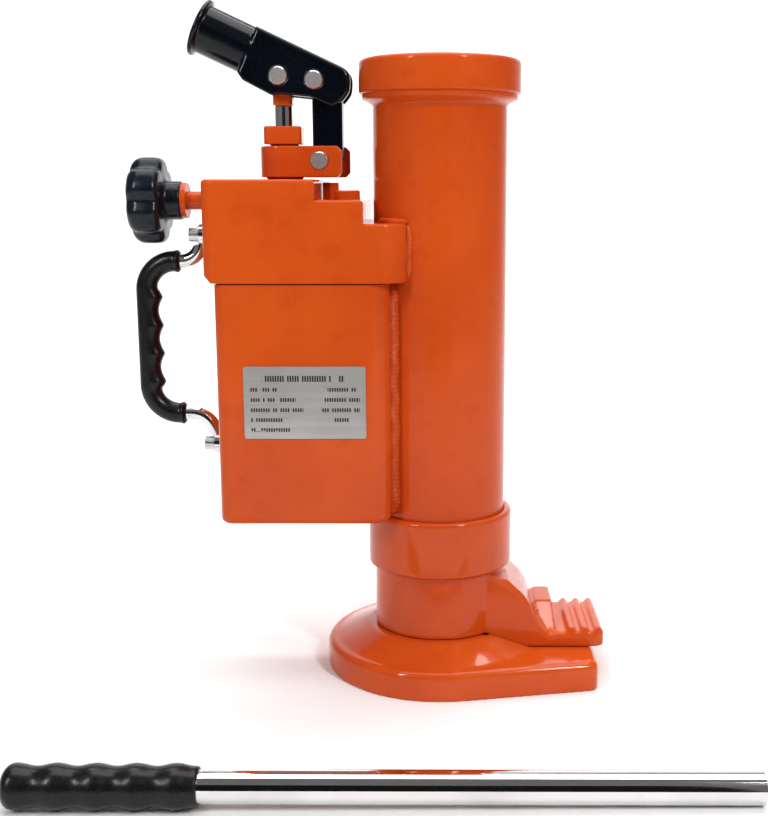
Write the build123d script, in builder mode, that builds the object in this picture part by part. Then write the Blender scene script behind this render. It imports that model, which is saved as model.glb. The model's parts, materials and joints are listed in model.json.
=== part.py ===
from build123d import *
import os
from math import cos, radians, sin, sqrt

# Hydraulic toe jack. The ram stands on the base and the cylinder rises on it,
# carrying the claw, the oil tank, the pump and the head cap.
# Frame: origin under the base on the ram's axis, +Z up, +X towards the toe,
# -Y the side of the data plate. Millimetres.

os.makedirs("parts", exist_ok=True)

# ------------------------------------------------------------ driving sizes
lift_stroke = 230.0  # travel of the cylinder on the ram
ram_r = 25.0  # chromed ram
tube_bore_r = 30.0  # bore of the cylinder tube
tube_r = 45.3  # outside of the cylinder tube
base_r = 80.5  # round heel of the base plate
base_thickness = 20.0
claw_half_width = 33.0
claw_tip_x = 115.0
tank_length = 114.0  # along X
tank_half_width = 55.0
tank_wall = 4.0
tank_back_r = 9.0  # upright corners of the tank
tank_nose_r = 14.0  # its corners beside the tube
handle_boss = 6.0  # the bosses that the carry handle is bolted to
bolt_r = 3.0  # bolts of the carry handle
plunger_r = 6.0
bar_r = 9.5  # pumping bar
bar_length = 420.0
grip_lobe_r = 12.75  # largest radius of the bar's grip

# --------------------------------------------------------------- clearances
fit_gap = 0.05  # radial play of turned pieces that are screwed or pressed home
run_gap = 0.06  # radial play of pieces that slide or turn in each other
side_gap = 0.3  # side play between moving cheeks
weld_gap = 0.2  # root gap of the joints that are welded to the tube
face_gap = 0.3  # gap under the lowered claw body

# ------------------------------------------------------------ height stack
ring_height = 10.0  # raised ring of the base
ring_top_z = base_thickness + ring_height
ram_foot_z = 14.0
claw_low_z = ring_top_z + face_gap
gland_top_z = claw_low_z + 18.2
spigot_low_z = gland_top_z + 0.5
piston_z = spigot_low_z + lift_stroke
piston_height = 21.0
piston_top_z = piston_z + piston_height
port_z = piston_top_z + 6.0  # oil port into the cylinder
block_z = port_z - 30.0  # underside of the pump block
block_top_z = block_z + 66.0
step_z = block_z + 53.0
bracket_z = block_z + 38.0
plug_low_z = piston_top_z + 14.0
cap_z = plug_low_z + 83.5
head_z = cap_z + 22.5
collar_z = 75.0
seat_z = 95.0  # step that the cylinder tube stands on
collar_top_z = 114.0
tank_z = collar_top_z + 1.0
gasket_thickness = 1.0
tank_top_z = block_z - gasket_thickness

# ----------------------------------------------------------- plan positions
tank_front_x = -33.0
tank_back_x = tank_front_x - tank_length
tank_centre_x = (tank_front_x + tank_back_x) / 2
block_overhang_y = 1.5
block_half_width = tank_half_width + block_overhang_y
block_back_x = tank_back_x - 6.0
block_step_x = block_back_x + 73.0
block_shoulder_x = tank_front_x - 16.0
bracket_front_x = tank_front_x + 12.0

# Pump linkage: plunger pin, lever pin and link pin, as (x, z)
pin_r = 5.9
plunger_x = block_back_x + 48.1
slot_travel = 1.6  # the plunger pin wanders this far each side of the plunger's axis
plunger_pin = (plunger_x - slot_travel, block_top_z + 67.0)
lever_pin = (plunger_pin[0] + 23.5, plunger_pin[1] - 2.6)
link_pin = (plunger_x + 24.7, block_top_z + 12.3)
link_half_width = 8.7
ear_in = link_half_width + side_gap
ear_out = 16.0
pin_hole_r = pin_r + run_gap

# Valve places on the block
port_r = 2.5  # ports to and from the cylinder and the tank
seat_r = 2.2  # seats of the suction and delivery balls
release_seat_r = 1.8
delivery_x = block_back_x + 79.0
safety_x = block_back_x + 91.0
gallery_y = 22.0
release_z = block_top_z - 14.0
release_seat_x = block_back_x + 30.0
release_drop_x = release_seat_x + 2.5
return_x = block_back_x + 21.0
chamber_r = plunger_r + 1.0
cross_z = block_z + 17.0
suction_seat_z = block_z + 12.0
delivery_seat_z = block_z + 20.0
safety_seat_z = block_z + 36.0
filler_xy = (block_back_x + 92.0, -28.0)
screw_xy = [
    (block_back_x + 16.0, tank_half_width - 9.0),
    (block_back_x + 16.0, 9.0 - tank_half_width),
    (block_back_x + 93.0, tank_half_width - 8.0),
    (block_back_x + 93.0, 8.0 - tank_half_width),
]


def ring(name, out_r, in_r, low_z, high_z, centre=(0.0, 0.0), edge=0.0):
    """A turned ring or disc standing on the XY plane at centre."""
    with BuildPart() as turned:
        with BuildSketch(Plane.XY.offset(low_z)):
            with Locations(centre):
                Circle(out_r)
                if in_r:
                    Circle(in_r, mode=Mode.SUBTRACT)
        extrude(amount=high_z - low_z)
        if edge:
            ends = turned.edges().filter_by(GeomType.CIRCLE)
            chamfer(ends.group_by(SortBy.RADIUS)[-1], edge)
    turned.part.label = name
    export_step(turned.part, f"parts/{name}.step")


def ball(name, radius, centre):
    """A valve ball."""
    with BuildPart() as sphere:
        with Locations(centre):
            Sphere(radius)
    sphere.part.label = name
    export_step(sphere.part, f"parts/{name}.step")


def coil_spring(name, coil_r, wire_r, turns, low_z, high_z, centre):
    """A compression spring with open ends between two heights."""
    rise = high_z - low_z - 2 * wire_r
    with BuildPart() as spring:
        with BuildLine(Plane((centre[0], centre[1], low_z + wire_r))) as path:
            Helix(pitch=rise / turns, height=rise, radius=coil_r)
        with BuildSketch(path.line ^ 0):
            Circle(wire_r)
        sweep(is_frenet=True)
    spring.part.label = name
    export_step(spring.part, f"parts/{name}.step")


def seat_height(ball_r, edge_r):
    """How far a ball's centre stands off the sharp edge of its seat."""
    return sqrt(ball_r**2 - edge_r**2)


# ================================================================ base group
# Base plate: forged slab, round at the heel and square at the nose, with a
# conical ring round the ram and a channel that takes the lowered claw.
nose_x = claw_tip_x - 7.0
nose_half = claw_half_width + 29.6
nose_corner_r = 8.0
nose_corner_x = nose_x - nose_corner_r
nose_corner_y = nose_half - nose_corner_r
ring_foot_r = base_r - 6.5
ring_head_r = ram_r * 2
channel_half = claw_half_width + 1.0
channel_x = ram_r + 5.0
ram_screw_r = 8.0
screw_head_r = 13.0
screw_head_height = 6.5
with BuildPart() as base_plate:
    with BuildSketch():
        Circle(base_r)
        with Locations((nose_corner_x, nose_corner_y), (nose_corner_x, -nose_corner_y)):
            Circle(nose_corner_r)
        make_hull()
    extrude(amount=base_thickness)
    fillet(base_plate.edges().group_by(Axis.Z)[-1], 5.0)
    with BuildSketch(Plane.XZ):
        with BuildLine():
            Polyline(
                (0, base_thickness - 1.0),
                (ring_foot_r, base_thickness - 1.0),
                (ring_foot_r, base_thickness),
                (ring_head_r + 1.5, ring_top_z - 0.5),
                (ring_head_r, ring_top_z),
                (0, ring_top_z),
                close=True,
            )
        make_face()
    revolve(axis=Axis.Z)
    with BuildSketch(Plane.XY.offset(base_thickness)):
        with Locations((channel_x, 0)):
            Rectangle(
                nose_x - channel_x + 20.0, 2 * channel_half, align=(Align.MIN, Align.CENTER)
            )
    extrude(amount=ring_height + 1.0, mode=Mode.SUBTRACT)
    with BuildSketch(Plane.XY.offset(ram_foot_z)):
        Circle(ram_r + fit_gap)
    extrude(amount=ring_top_z, mode=Mode.SUBTRACT)
    with BuildSketch():
        Circle(ram_screw_r + fit_gap)
    extrude(amount=ram_foot_z, mode=Mode.SUBTRACT)
    with BuildSketch():
        Circle(screw_head_r + 0.5)
    extrude(amount=screw_head_height + 0.5, mode=Mode.SUBTRACT)
base_plate.part.label = "base_plate"
export_step(base_plate.part, "parts/base_plate.step")

# Ram: chromed bar with a spigot for the piston and a tapped foot.
spigot_r = 15.0
nut_height = 10.0
ram_thread_depth = 22.0
with BuildPart() as ram:
    with BuildSketch(Plane.XY.offset(ram_foot_z)):
        Circle(ram_r)
    extrude(amount=piston_z - ram_foot_z)
    with BuildSketch(Plane.XY.offset(piston_z)):
        Circle(spigot_r)
    extrude(amount=piston_height + nut_height + 1.0)
    chamfer(ram.faces().sort_by(Axis.Z)[-1].edges(), 1.0)
    with BuildSketch(Plane.XY.offset(ram_foot_z)):
        Circle(ram_screw_r + fit_gap)
    extrude(amount=ram_thread_depth + 2.0, mode=Mode.SUBTRACT)
ram.part.label = "ram"
export_step(ram.part, "parts/ram.step")

# Ram screw: socket head screw that holds the ram to the base from below.
with BuildPart() as ram_screw:
    with BuildSketch(Plane.XY.offset(0.5)):
        Circle(screw_head_r)
    extrude(amount=screw_head_height)
    with BuildSketch(Plane.XY.offset(0.5 + screw_head_height)):
        Circle(ram_screw_r)
    extrude(amount=ram_foot_z + ram_thread_depth - screw_head_height - 0.5)
    with BuildSketch(Plane.XY.offset(0.5)):
        RegularPolygon(7.0, 6, major_radius=False)
    extrude(amount=4.5, mode=Mode.SUBTRACT)
ram_screw.part.label = "ram_screw"
export_step(ram_screw.part, "parts/ram_screw.step")

# Piston: grooved for a seal and a guide ring, held by a round nut.
piston_r = tube_bore_r - fit_gap
seal_depth = 4.4
guide_depth = 2.4
seal_low, seal_high = piston_z + 12.0, piston_z + 18.0
guide_low, guide_high = piston_z + 2.5, piston_z + 8.5
with BuildPart() as piston:
    with BuildSketch(Plane.XY.offset(piston_z)):
        Circle(piston_r)
        Circle(spigot_r + fit_gap, mode=Mode.SUBTRACT)
    extrude(amount=piston_height)
    chamfer(piston.edges().filter_by(GeomType.CIRCLE).group_by(SortBy.RADIUS)[-1], 0.8)
    for low, high, depth in [
        (seal_low, seal_high, seal_depth),
        (guide_low, guide_high, guide_depth),
    ]:
        with BuildSketch(Plane.XY.offset(low)):
            Circle(piston_r + 1.0)
            Circle(piston_r - depth, mode=Mode.SUBTRACT)
        extrude(amount=high - low, mode=Mode.SUBTRACT)
piston.part.label = "piston"
export_step(piston.part, "parts/piston.step")
ring(
    "piston_seal",
    tube_bore_r - run_gap,
    piston_r - seal_depth + fit_gap,
    seal_low + fit_gap,
    seal_high - fit_gap,
)
ring(
    "piston_guide_ring",
    tube_bore_r - run_gap,
    piston_r - guide_depth + fit_gap,
    guide_low + fit_gap,
    guide_high - fit_gap,
)

# Piston nut: round nut with two spanner slots.
nut_r = 20.0
with BuildPart() as piston_nut:
    with BuildSketch(Plane.XY.offset(piston_top_z)):
        Circle(nut_r)
        Circle(spigot_r + fit_gap, mode=Mode.SUBTRACT)
        Rectangle(5.0, 2 * nut_r + 2.0, mode=Mode.SUBTRACT)
        Circle(nut_r - 2.5)
        Circle(spigot_r + fit_gap, mode=Mode.SUBTRACT)
    extrude(amount=nut_height)
piston_nut.part.label = "piston_nut"
export_step(piston_nut.part, "parts/piston_nut.step")

# ============================================================ cylinder group
# Cylinder tube: thick wall, stepped down at the foot where it stands in the
# claw body, flared under the head, with the oil port on the tank's side.
foot_r = ram_r + 13.0
flare_r = tube_r + 7.2
flare_z = cap_z - 8.0
with BuildPart() as cylinder_tube:
    with BuildSketch(Plane.XZ):
        with BuildLine():
            Polyline(
                (tube_r, flare_z),
                (tube_r, seat_z),
                (foot_r, seat_z),
                (foot_r, spigot_low_z),
                (tube_bore_r, spigot_low_z),
                (tube_bore_r, cap_z),
                (flare_r, cap_z),
                (flare_r, cap_z - 2.5),
            )
            Spline(
                (flare_r, cap_z - 2.5),
                (tube_r, flare_z),
                tangents=[(-0.45, -1.0), (-0.25, -1.0)],
            )
        make_face()
    revolve(axis=Axis.Z)
    with BuildSketch(Plane.YZ.offset(-tube_r - 1.0)):
        with Locations((0, port_z)):
            Circle(port_r)
    extrude(amount=tube_r - tube_bore_r + 3.0, mode=Mode.SUBTRACT)
cylinder_tube.part.label = "cylinder_tube"
export_step(cylinder_tube.part, "parts/cylinder_tube.step")

# Head cap: lifting head with shallow gripping rings, its plug screwed down
# the bore and sealed.
cap_r = flare_r + 2.0
head_seal_low = plug_low_z + 4.0
head_seal_high = head_seal_low + 6.0
with BuildPart() as head_cap:
    with BuildSketch(Plane.XY.offset(plug_low_z)):
        Circle(piston_r)
    extrude(amount=cap_z - plug_low_z)
    with BuildSketch(Plane.XY.offset(cap_z)):
        Circle(cap_r)
    extrude(amount=head_z - cap_z)
    rims = head_cap.edges().filter_by(GeomType.CIRCLE).group_by(SortBy.RADIUS)[-1]
    fillet(rims.sort_by(Axis.Z)[-1], 3.0)
    fillet(rims.sort_by(Axis.Z)[0], 2.0)
    for groove_r in (16.0, 27.0, 38.0):
        with BuildSketch(Plane.XY.offset(head_z)):
            Circle(groove_r + 1.5)
            Circle(groove_r - 1.5, mode=Mode.SUBTRACT)
        extrude(amount=-1.2, mode=Mode.SUBTRACT)
    with BuildSketch(Plane.XY.offset(head_seal_low)):
        Circle(piston_r + 1.0)
        Circle(piston_r - seal_depth, mode=Mode.SUBTRACT)
    extrude(amount=head_seal_high - head_seal_low, mode=Mode.SUBTRACT)
head_cap.part.label = "head_cap"
export_step(head_cap.part, "parts/head_cap.step")
ring(
    "head_seal",
    tube_bore_r - run_gap,
    piston_r - seal_depth + fit_gap,
    head_seal_low + fit_gap,
    head_seal_high - fit_gap,
)

# Claw body: steel casting. A barrel and a collar hold the tube's foot, a
# sloping web runs down from the collar to the toe, and a raised ridge stops
# the load from sliding in against the web.
barrel_r = foot_r + 8.0
collar_r = tube_r + 5.2
pad_z = claw_low_z + 0.2  # root of the toe's ribs
claw_floor_z = base_thickness + face_gap
ridge_x = claw_tip_x - 46.0
ridge_length = 12.0
rib_count = 3
rib_pitch = 9.35
rib_half = 4.2
rib_crest_z = pad_z + 3.5
with BuildPart() as claw_body:
    with BuildSketch(Plane.XY.offset(claw_low_z)):
        Circle(barrel_r)
    extrude(amount=collar_z - claw_low_z)
    with BuildSketch(Plane.XZ):
        with BuildLine():
            Polyline(
                (ram_r + 9.0, claw_floor_z),
                (claw_tip_x, claw_floor_z),
                (claw_tip_x, pad_z),
                (claw_tip_x - 33.0, pad_z),
                (claw_tip_x - 38.0, pad_z - 2.0),
                (claw_tip_x - 47.0, pad_z + 7.0),
                (claw_tip_x - 52.0, pad_z + 20.5),
                (claw_tip_x - 56.5, pad_z + 27.0),
                (barrel_r + 1.0, collar_z - 6.5),
                (ram_r + 9.0, collar_z - 2.0),
                close=True,
            )
        make_face()
    extrude(amount=claw_half_width, both=True)
    upright = claw_body.edges().filter_by(Axis.Z).group_by(Axis.X)[-1]
    fillet(upright, 6.0)
    slopes = claw_body.faces().filter_by(lambda face: abs(face.center().Y) > claw_half_width - 0.1)
    web_edges = slopes.edges().filter_by(lambda edge: edge.center().Z > pad_z - 1.8)
    fillet(web_edges.filter_by(lambda edge: edge.center().X > barrel_r - 4.0), 3.0)
    with BuildSketch(Plane.YZ.offset(ridge_x)):
        with BuildLine():
            Polyline(
                (claw_half_width, pad_z - 3.0),
                (claw_half_width, pad_z + 12.5),
                (1.0, pad_z + 12.5),
                (4.0 - claw_half_width, pad_z + 0.6),
                (4.0 - claw_half_width, pad_z - 3.0),
                close=True,
            )
        make_face()
        fillet(vertices().filter_by(lambda corner: corner.Y > pad_z), 2.5)
    extrude(amount=ridge_length)
    with BuildSketch(Plane.XZ):
        for count in range(rib_count):
            crest_x = claw_tip_x - rib_half - count * rib_pitch
            with BuildLine():
                Polyline(
                    (crest_x - rib_half, pad_z - 0.6),
                    (crest_x - 1.3, rib_crest_z),
                    (crest_x + 1.3, rib_crest_z),
                    (crest_x + rib_half, pad_z - 0.6),
                    close=True,
                )
            make_face()
    extrude(amount=claw_half_width - 1.5, both=True)
    with BuildSketch(Plane.XY.offset(collar_z)):
        Circle(collar_r)
    extrude(amount=collar_top_z - collar_z)
    rims = claw_body.edges().filter_by(GeomType.CIRCLE).group_by(SortBy.RADIUS)[-1]
    fillet(rims.sort_by(Axis.Z)[-1], 2.5)
    with BuildSketch(Plane.XY.offset(seat_z)):
        Circle(tube_r + fit_gap)
    extrude(amount=collar_top_z - seat_z, mode=Mode.SUBTRACT)
    with BuildSketch(Plane.XY.offset(claw_low_z)):
        Circle(foot_r + fit_gap)
    extrude(amount=seat_z - claw_low_z, mode=Mode.SUBTRACT)
claw_body.part.label = "claw_body"
export_step(claw_body.part, "parts/claw_body.step")

# Gland bush: bronze bush that guides the foot of the cylinder on the ram,
# with a seal groove inside and a wiper recess under it.
bush_low_z = claw_low_z + 0.2
wiper_r = ram_r + 6.0
wiper_high = bush_low_z + 5.0
gland_seal_r = ram_r + 5.0
gland_seal_low, gland_seal_high = bush_low_z + 8.5, bush_low_z + 14.5
with BuildPart() as gland_bush:
    with BuildSketch(Plane.XY.offset(bush_low_z)):
        Circle(foot_r)
        Circle(ram_r + run_gap, mode=Mode.SUBTRACT)
    extrude(amount=gland_top_z - bush_low_z)
    for low, high, out_r in [
        (bush_low_z, wiper_high, wiper_r + fit_gap),
        (gland_seal_low, gland_seal_high, gland_seal_r + fit_gap),
    ]:
        with BuildSketch(Plane.XY.offset(low)):
            Circle(out_r)
        extrude(amount=high - low, mode=Mode.SUBTRACT)
gland_bush.part.label = "gland_bush"
export_step(gland_bush.part, "parts/gland_bush.step")
ring("gland_seal", gland_seal_r, ram_r + run_gap, gland_seal_low + fit_gap, gland_seal_high - fit_gap)
ring("ram_wiper", wiper_r, ram_r + run_gap, bush_low_z + fit_gap, wiper_high - fit_gap, edge=1.0)

# ================================================================ tank group
# Oil tank: welded box, hollowed round the tube, with a boss in each corner
# for the screws of the pump block.
boss_r = 8.0
tank_cavity_r = tube_r + weld_gap + tank_wall
tank_screw_r = 4.0
boss_height = 30.0
screw_hole_depth = 26.0
handle_foot_z = tank_z + 44.5
inner_boss_length = 8.0


def tank_plan(inset):
    """Plan of the tank, drawn in by inset on every side."""
    with BuildSketch(Plane.XY) as plan:
        with Locations((tank_centre_x, 0)):
            Rectangle(tank_length - 2 * inset, 2 * (tank_half_width - inset))
        fillet(plan.vertices().group_by(Axis.X)[0], tank_back_r - inset)
        fillet(plan.vertices().group_by(Axis.X)[-1], tank_nose_r - inset)
    return plan.sketch


with BuildPart() as oil_tank:
    with BuildSketch(Plane.XY.offset(tank_z)):
        add(tank_plan(0.0))
    extrude(amount=tank_top_z - tank_z)
    fillet(oil_tank.edges().group_by(Axis.Z)[0], 4.0)
    with BuildSketch(Plane.XY.offset(tank_z + tank_wall)):
        add(tank_plan(tank_wall))
        Circle(tank_cavity_r, mode=Mode.SUBTRACT)
    extrude(amount=tank_top_z - tank_z, mode=Mode.SUBTRACT)
    with BuildSketch(Plane.XY.offset(tank_top_z - boss_height)):
        with Locations(*screw_xy):
            Circle(boss_r)
        add(tank_plan(tank_wall / 2), mode=Mode.INTERSECT)
    extrude(amount=boss_height)
    with BuildSketch(Plane.XY.offset(tank_z - 1.0)):
        Circle(tube_r + weld_gap)
    extrude(amount=tank_top_z - tank_z + 2.0, mode=Mode.SUBTRACT)
    with BuildSketch(Plane.XY.offset(tank_top_z - screw_hole_depth)):
        with Locations(*screw_xy):
            Circle(tank_screw_r + fit_gap)
    extrude(amount=screw_hole_depth, mode=Mode.SUBTRACT)
    with BuildSketch(Plane.YZ.offset(tank_back_x - handle_boss)):
        with Locations((0, handle_foot_z)):
            Circle(boss_r)
    extrude(amount=handle_boss + tank_wall + inner_boss_length)
    with BuildSketch(Plane.YZ.offset(tank_back_x - handle_boss)):
        with Locations((0, handle_foot_z)):
            Circle(bolt_r + fit_gap)
    extrude(amount=handle_boss + tank_wall + inner_boss_length - 3.0, mode=Mode.SUBTRACT)
oil_tank.part.label = "oil_tank"
export_step(oil_tank.part, "parts/oil_tank.step")

# Tank gasket: flat joint between the tank's rim and the pump block.
gasket_inset = 1.0
with BuildPart() as tank_gasket:
    with BuildSketch(Plane.XY.offset(tank_top_z)):
        add(tank_plan(gasket_inset))
        add(tank_plan(gasket_inset + tank_wall), mode=Mode.SUBTRACT)
        with Locations(*screw_xy):
            Circle(boss_r)
        Circle(tank_cavity_r + gasket_inset)
        add(tank_plan(gasket_inset), mode=Mode.INTERSECT)
        with Locations(*screw_xy):
            Circle(tank_screw_r + 0.5, mode=Mode.SUBTRACT)
        Circle(tube_r + weld_gap, mode=Mode.SUBTRACT)
    extrude(amount=gasket_thickness)
tank_gasket.part.label = "tank_gasket"
export_step(tank_gasket.part, "parts/tank_gasket.step")

# Data plate: blank aluminium plate on the tank's side.
plate_width, plate_height, plate_thickness = 80.0, 48.0, 0.8
plate_x = tank_centre_x + 1.5
plate_z = tank_z + 83.0
with BuildPart() as data_plate:
    with BuildSketch(Plane.XZ.offset(tank_half_width)):
        with Locations((plate_x, plate_z)):
            RectangleRounded(plate_width, plate_height, 1.5)
    extrude(amount=plate_thickness)
data_plate.part.label = "data_plate"
export_step(data_plate.part, "parts/data_plate.step")

# Suction pipe and strainer: hang from the block to the bottom of the tank.
pipe_r, pipe_bore_r = 4.0, 2.2
strainer_r = 8.0
strainer_z = tank_z + tank_wall + 4.0
strainer_height = 14.0
pipe_socket = 4.0
pipe_low_z = strainer_z + strainer_height - 3.0
ring("suction_pipe", pipe_r, pipe_bore_r, pipe_low_z, block_z + pipe_socket, (plunger_x, 0))
with BuildPart() as suction_strainer:
    with BuildSketch(Plane.XY.offset(strainer_z)):
        with Locations((plunger_x, 0)):
            Circle(strainer_r)
    extrude(amount=strainer_height)
    with BuildSketch(Plane.XY.offset(strainer_z + 1.2)):
        with Locations((plunger_x, 0)):
            Circle(strainer_r - 1.2)
    extrude(amount=strainer_height - 4.2, mode=Mode.SUBTRACT)
    with BuildSketch(Plane.XY.offset(strainer_z + 2.0)):
        with Locations((plunger_x, 0)):
            Circle(pipe_r + fit_gap)
    extrude(amount=strainer_height, mode=Mode.SUBTRACT)
    for height in (3.5, 7.0):
        with BuildSketch(Plane.XZ.offset(-strainer_r - 1.0)):
            with Locations((plunger_x, strainer_z + height)):
                Circle(1.1)
        extrude(amount=2 * strainer_r + 2.0, mode=Mode.SUBTRACT)
suction_strainer.part.label = "suction_strainer"
export_step(suction_strainer.part, "parts/suction_strainer.step")

# =============================================================== pump block
# Pump block: steel manifold that closes the tank and is welded to the tube.
# Its drillings are the pump chamber, the suction, delivery, release and
# safety valves and the galleries between them.
barrel_stem_r = 12.0
barrel_seat_z = block_z + 34.0
release_bore_r = 6.25
release_bush_r = 9.0
release_bush_length = 11.0
delivery_bore_r = 6.0
safety_bore_r = 5.0
gallery_r = 1.5
drop_r = 1.7
link_gallery_r = 1.9
gallery_plug_r = 2.5
plug_depth = 6.0
filler_r = 6.5
head_bore_r = 7.0
head_bore_depth = 9.0
handle_head_z = block_z + 29.0
bolt_depth = 14.0
bracket_nose_r = 20.0
bolt_hole_x = block_back_x - handle_boss
bush_bore_end_x = block_back_x + release_bush_length
gallery_plug_y = block_half_width - plug_depth


def along_x(centre_y, centre_z, radius, low_x, high_x):
    """A drilling along X, cut from the part being built."""
    with BuildSketch(Plane.YZ.offset(low_x)) as hole:
        with Locations((centre_y, centre_z)):
            Circle(radius)
    extrude(hole.sketch, amount=high_x - low_x, mode=Mode.SUBTRACT)


def along_y(centre_x, centre_z, radius, low_y, high_y):
    """A drilling along Y, cut from the part being built."""
    with BuildSketch(Plane.XZ.offset(-low_y)) as hole:
        with Locations((centre_x, centre_z)):
            Circle(radius)
    extrude(hole.sketch, amount=low_y - high_y, mode=Mode.SUBTRACT)


def down(centre, radius, low_z, high_z):
    """A drilling along Z, cut from the part being built."""
    with BuildSketch(Plane.XY.offset(low_z)) as hole:
        with Locations(centre):
            Circle(radius)
    extrude(hole.sketch, amount=high_z - low_z, mode=Mode.SUBTRACT)


with BuildPart() as pump_block:
    with BuildSketch(Plane.XZ):
        with BuildLine():
            Polyline(
                (block_back_x, block_z + 5.5),
                (block_back_x + 5.5, block_z),
                (bracket_front_x, block_z),
                (bracket_front_x, bracket_z),
                (block_shoulder_x, bracket_z),
                (block_shoulder_x, step_z),
                (block_step_x, step_z),
                (block_step_x, block_top_z),
                (block_back_x, block_top_z),
                close=True,
            )
        make_face()
    extrude(amount=block_half_width, both=True)
    uprights = pump_block.edges().filter_by(Axis.Z)
    fillet(uprights.group_by(Axis.X)[0], 8.0)
    fillet(uprights.group_by(Axis.X)[-1], bracket_nose_r)
    fillet(pump_block.faces().sort_by(Axis.Z)[-1].edges(), 2.5)
    step_faces = pump_block.faces().filter_by(Axis.Z)
    step_edges = step_faces.filter_by(lambda face: abs(face.center().Z - step_z) < 0.1).edges()
    fillet(step_edges.filter_by(lambda edge: edge.center().X > block_step_x + 1.0), 2.5)
    rim_edges = step_faces.filter_by(lambda face: abs(face.center().Z - bracket_z) < 0.1).edges()
    fillet(rim_edges.filter_by(lambda edge: edge.center().X > block_shoulder_x + 1.0), 2.5)
    down((0, 0), tube_r + weld_gap, block_z - 1.0, block_top_z)
    down((plunger_x, 0), pipe_r + fit_gap, block_z, block_z + pipe_socket)
    down((plunger_x, 0), seat_r, block_z, suction_seat_z)
    down((plunger_x, 0), chamber_r, suction_seat_z, barrel_seat_z)
    down((plunger_x, 0), barrel_stem_r + fit_gap, barrel_seat_z - 2.0, block_top_z)
    down((delivery_x, 0), seat_r, cross_z - 0.5, delivery_seat_z)
    down((delivery_x, 0), delivery_bore_r, delivery_seat_z, step_z)
    along_x(0, cross_z, gallery_r, plunger_x + 2.0, -tube_bore_r)
    along_x(0, cross_z, gallery_plug_r + fit_gap, -tube_r - plug_depth, -tube_bore_r)
    along_x(0, port_z, port_r, delivery_x + 1.0, -tube_bore_r)
    along_x(0, release_z, release_bush_r + fit_gap, block_back_x, bush_bore_end_x)
    along_x(0, release_z, release_bore_r, block_back_x, release_seat_x - 6.0)
    along_x(0, release_z, 3.4, release_seat_x - 6.0, release_seat_x)
    along_x(0, release_z, release_seat_r, release_seat_x, release_drop_x)
    down((release_drop_x, 0), drop_r, port_z - 2.4, release_z + 2.4)
    down((return_x, 0), port_r, block_z, release_z)
    for gallery_x in (release_drop_x, delivery_x):
        along_y(gallery_x, port_z, gallery_r, -0.8, block_half_width)
        along_y(gallery_x, port_z, gallery_plug_r + fit_gap, gallery_plug_y, block_half_width)
    along_x(gallery_y, port_z, link_gallery_r, block_back_x, safety_x + 2.0)
    along_x(gallery_y, port_z, gallery_plug_r + fit_gap, block_back_x, block_back_x + plug_depth)
    down((safety_x, gallery_y), gallery_r, port_z - 0.5, safety_seat_z)
    down((safety_x, gallery_y), safety_bore_r, safety_seat_z, step_z)
    down((safety_x + 5.2, gallery_y), drop_r, block_z, safety_seat_z + 6.0)
    down(filler_xy, filler_r, block_z, step_z)
    for spot in screw_xy:
        top = block_top_z if spot[0] < block_step_x else step_z
        down(spot, tank_screw_r + 0.5, block_z, top)
        down(spot, head_bore_r, top - head_bore_depth, top)
    with BuildSketch(Plane.YZ.offset(bolt_hole_x)):
        with Locations((0, handle_head_z)):
            Circle(boss_r)
    extrude(amount=handle_boss + 1.0)
    along_x(0, handle_head_z, bolt_r + fit_gap, bolt_hole_x, block_back_x + bolt_depth)
pump_block.part.label = "pump_block"
export_step(pump_block.part, "parts/pump_block.step")

# Tank screws: four socket head screws through the block into the bosses.
with BuildPart() as tank_screws:
    for spot in screw_xy:
        top = block_top_z if spot[0] < block_step_x else step_z
        head_low = top - head_bore_depth
        with BuildSketch(Plane.XY.offset(head_low)):
            with Locations(spot):
                Circle(head_bore_r - 0.5)
        extrude(amount=8.0)
        with BuildSketch(Plane.XY.offset(tank_top_z - 20.0)):
            with Locations(spot):
                Circle(tank_screw_r)
        extrude(amount=head_low - tank_top_z + 20.0)
        with BuildSketch(Plane.XY.offset(head_low + 8.0)):
            with Locations(spot):
                RegularPolygon(3.0, 6, major_radius=False)
        extrude(amount=-4.0, mode=Mode.SUBTRACT)
tank_screws.part.label = "tank_screws"
export_step(tank_screws.part, "parts/tank_screws.step")

# Gallery plugs: taper plugs that close the ends of the cross drillings.
with BuildPart() as gallery_plugs:
    for gallery_x in (release_drop_x, delivery_x):
        with BuildSketch(Plane.XZ.offset(-block_half_width)):
            with Locations((gallery_x, port_z)):
                Circle(gallery_plug_r)
                RegularPolygon(1.3, 6, mode=Mode.SUBTRACT)
        extrude(amount=plug_depth - 1.0)
    with BuildSketch(Plane.YZ.offset(block_back_x)):
        with Locations((gallery_y, port_z)):
            Circle(gallery_plug_r)
            RegularPolygon(1.3, 6, mode=Mode.SUBTRACT)
    extrude(amount=plug_depth - 1.0)
    with BuildSketch(Plane.YZ.offset(-tube_r - plug_depth + 0.5)):
        with Locations((0, cross_z)):
            Circle(gallery_plug_r)
    extrude(amount=plug_depth - 1.5)
gallery_plugs.part.label = "gallery_plugs"
export_step(gallery_plugs.part, "parts/gallery_plugs.step")

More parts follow.
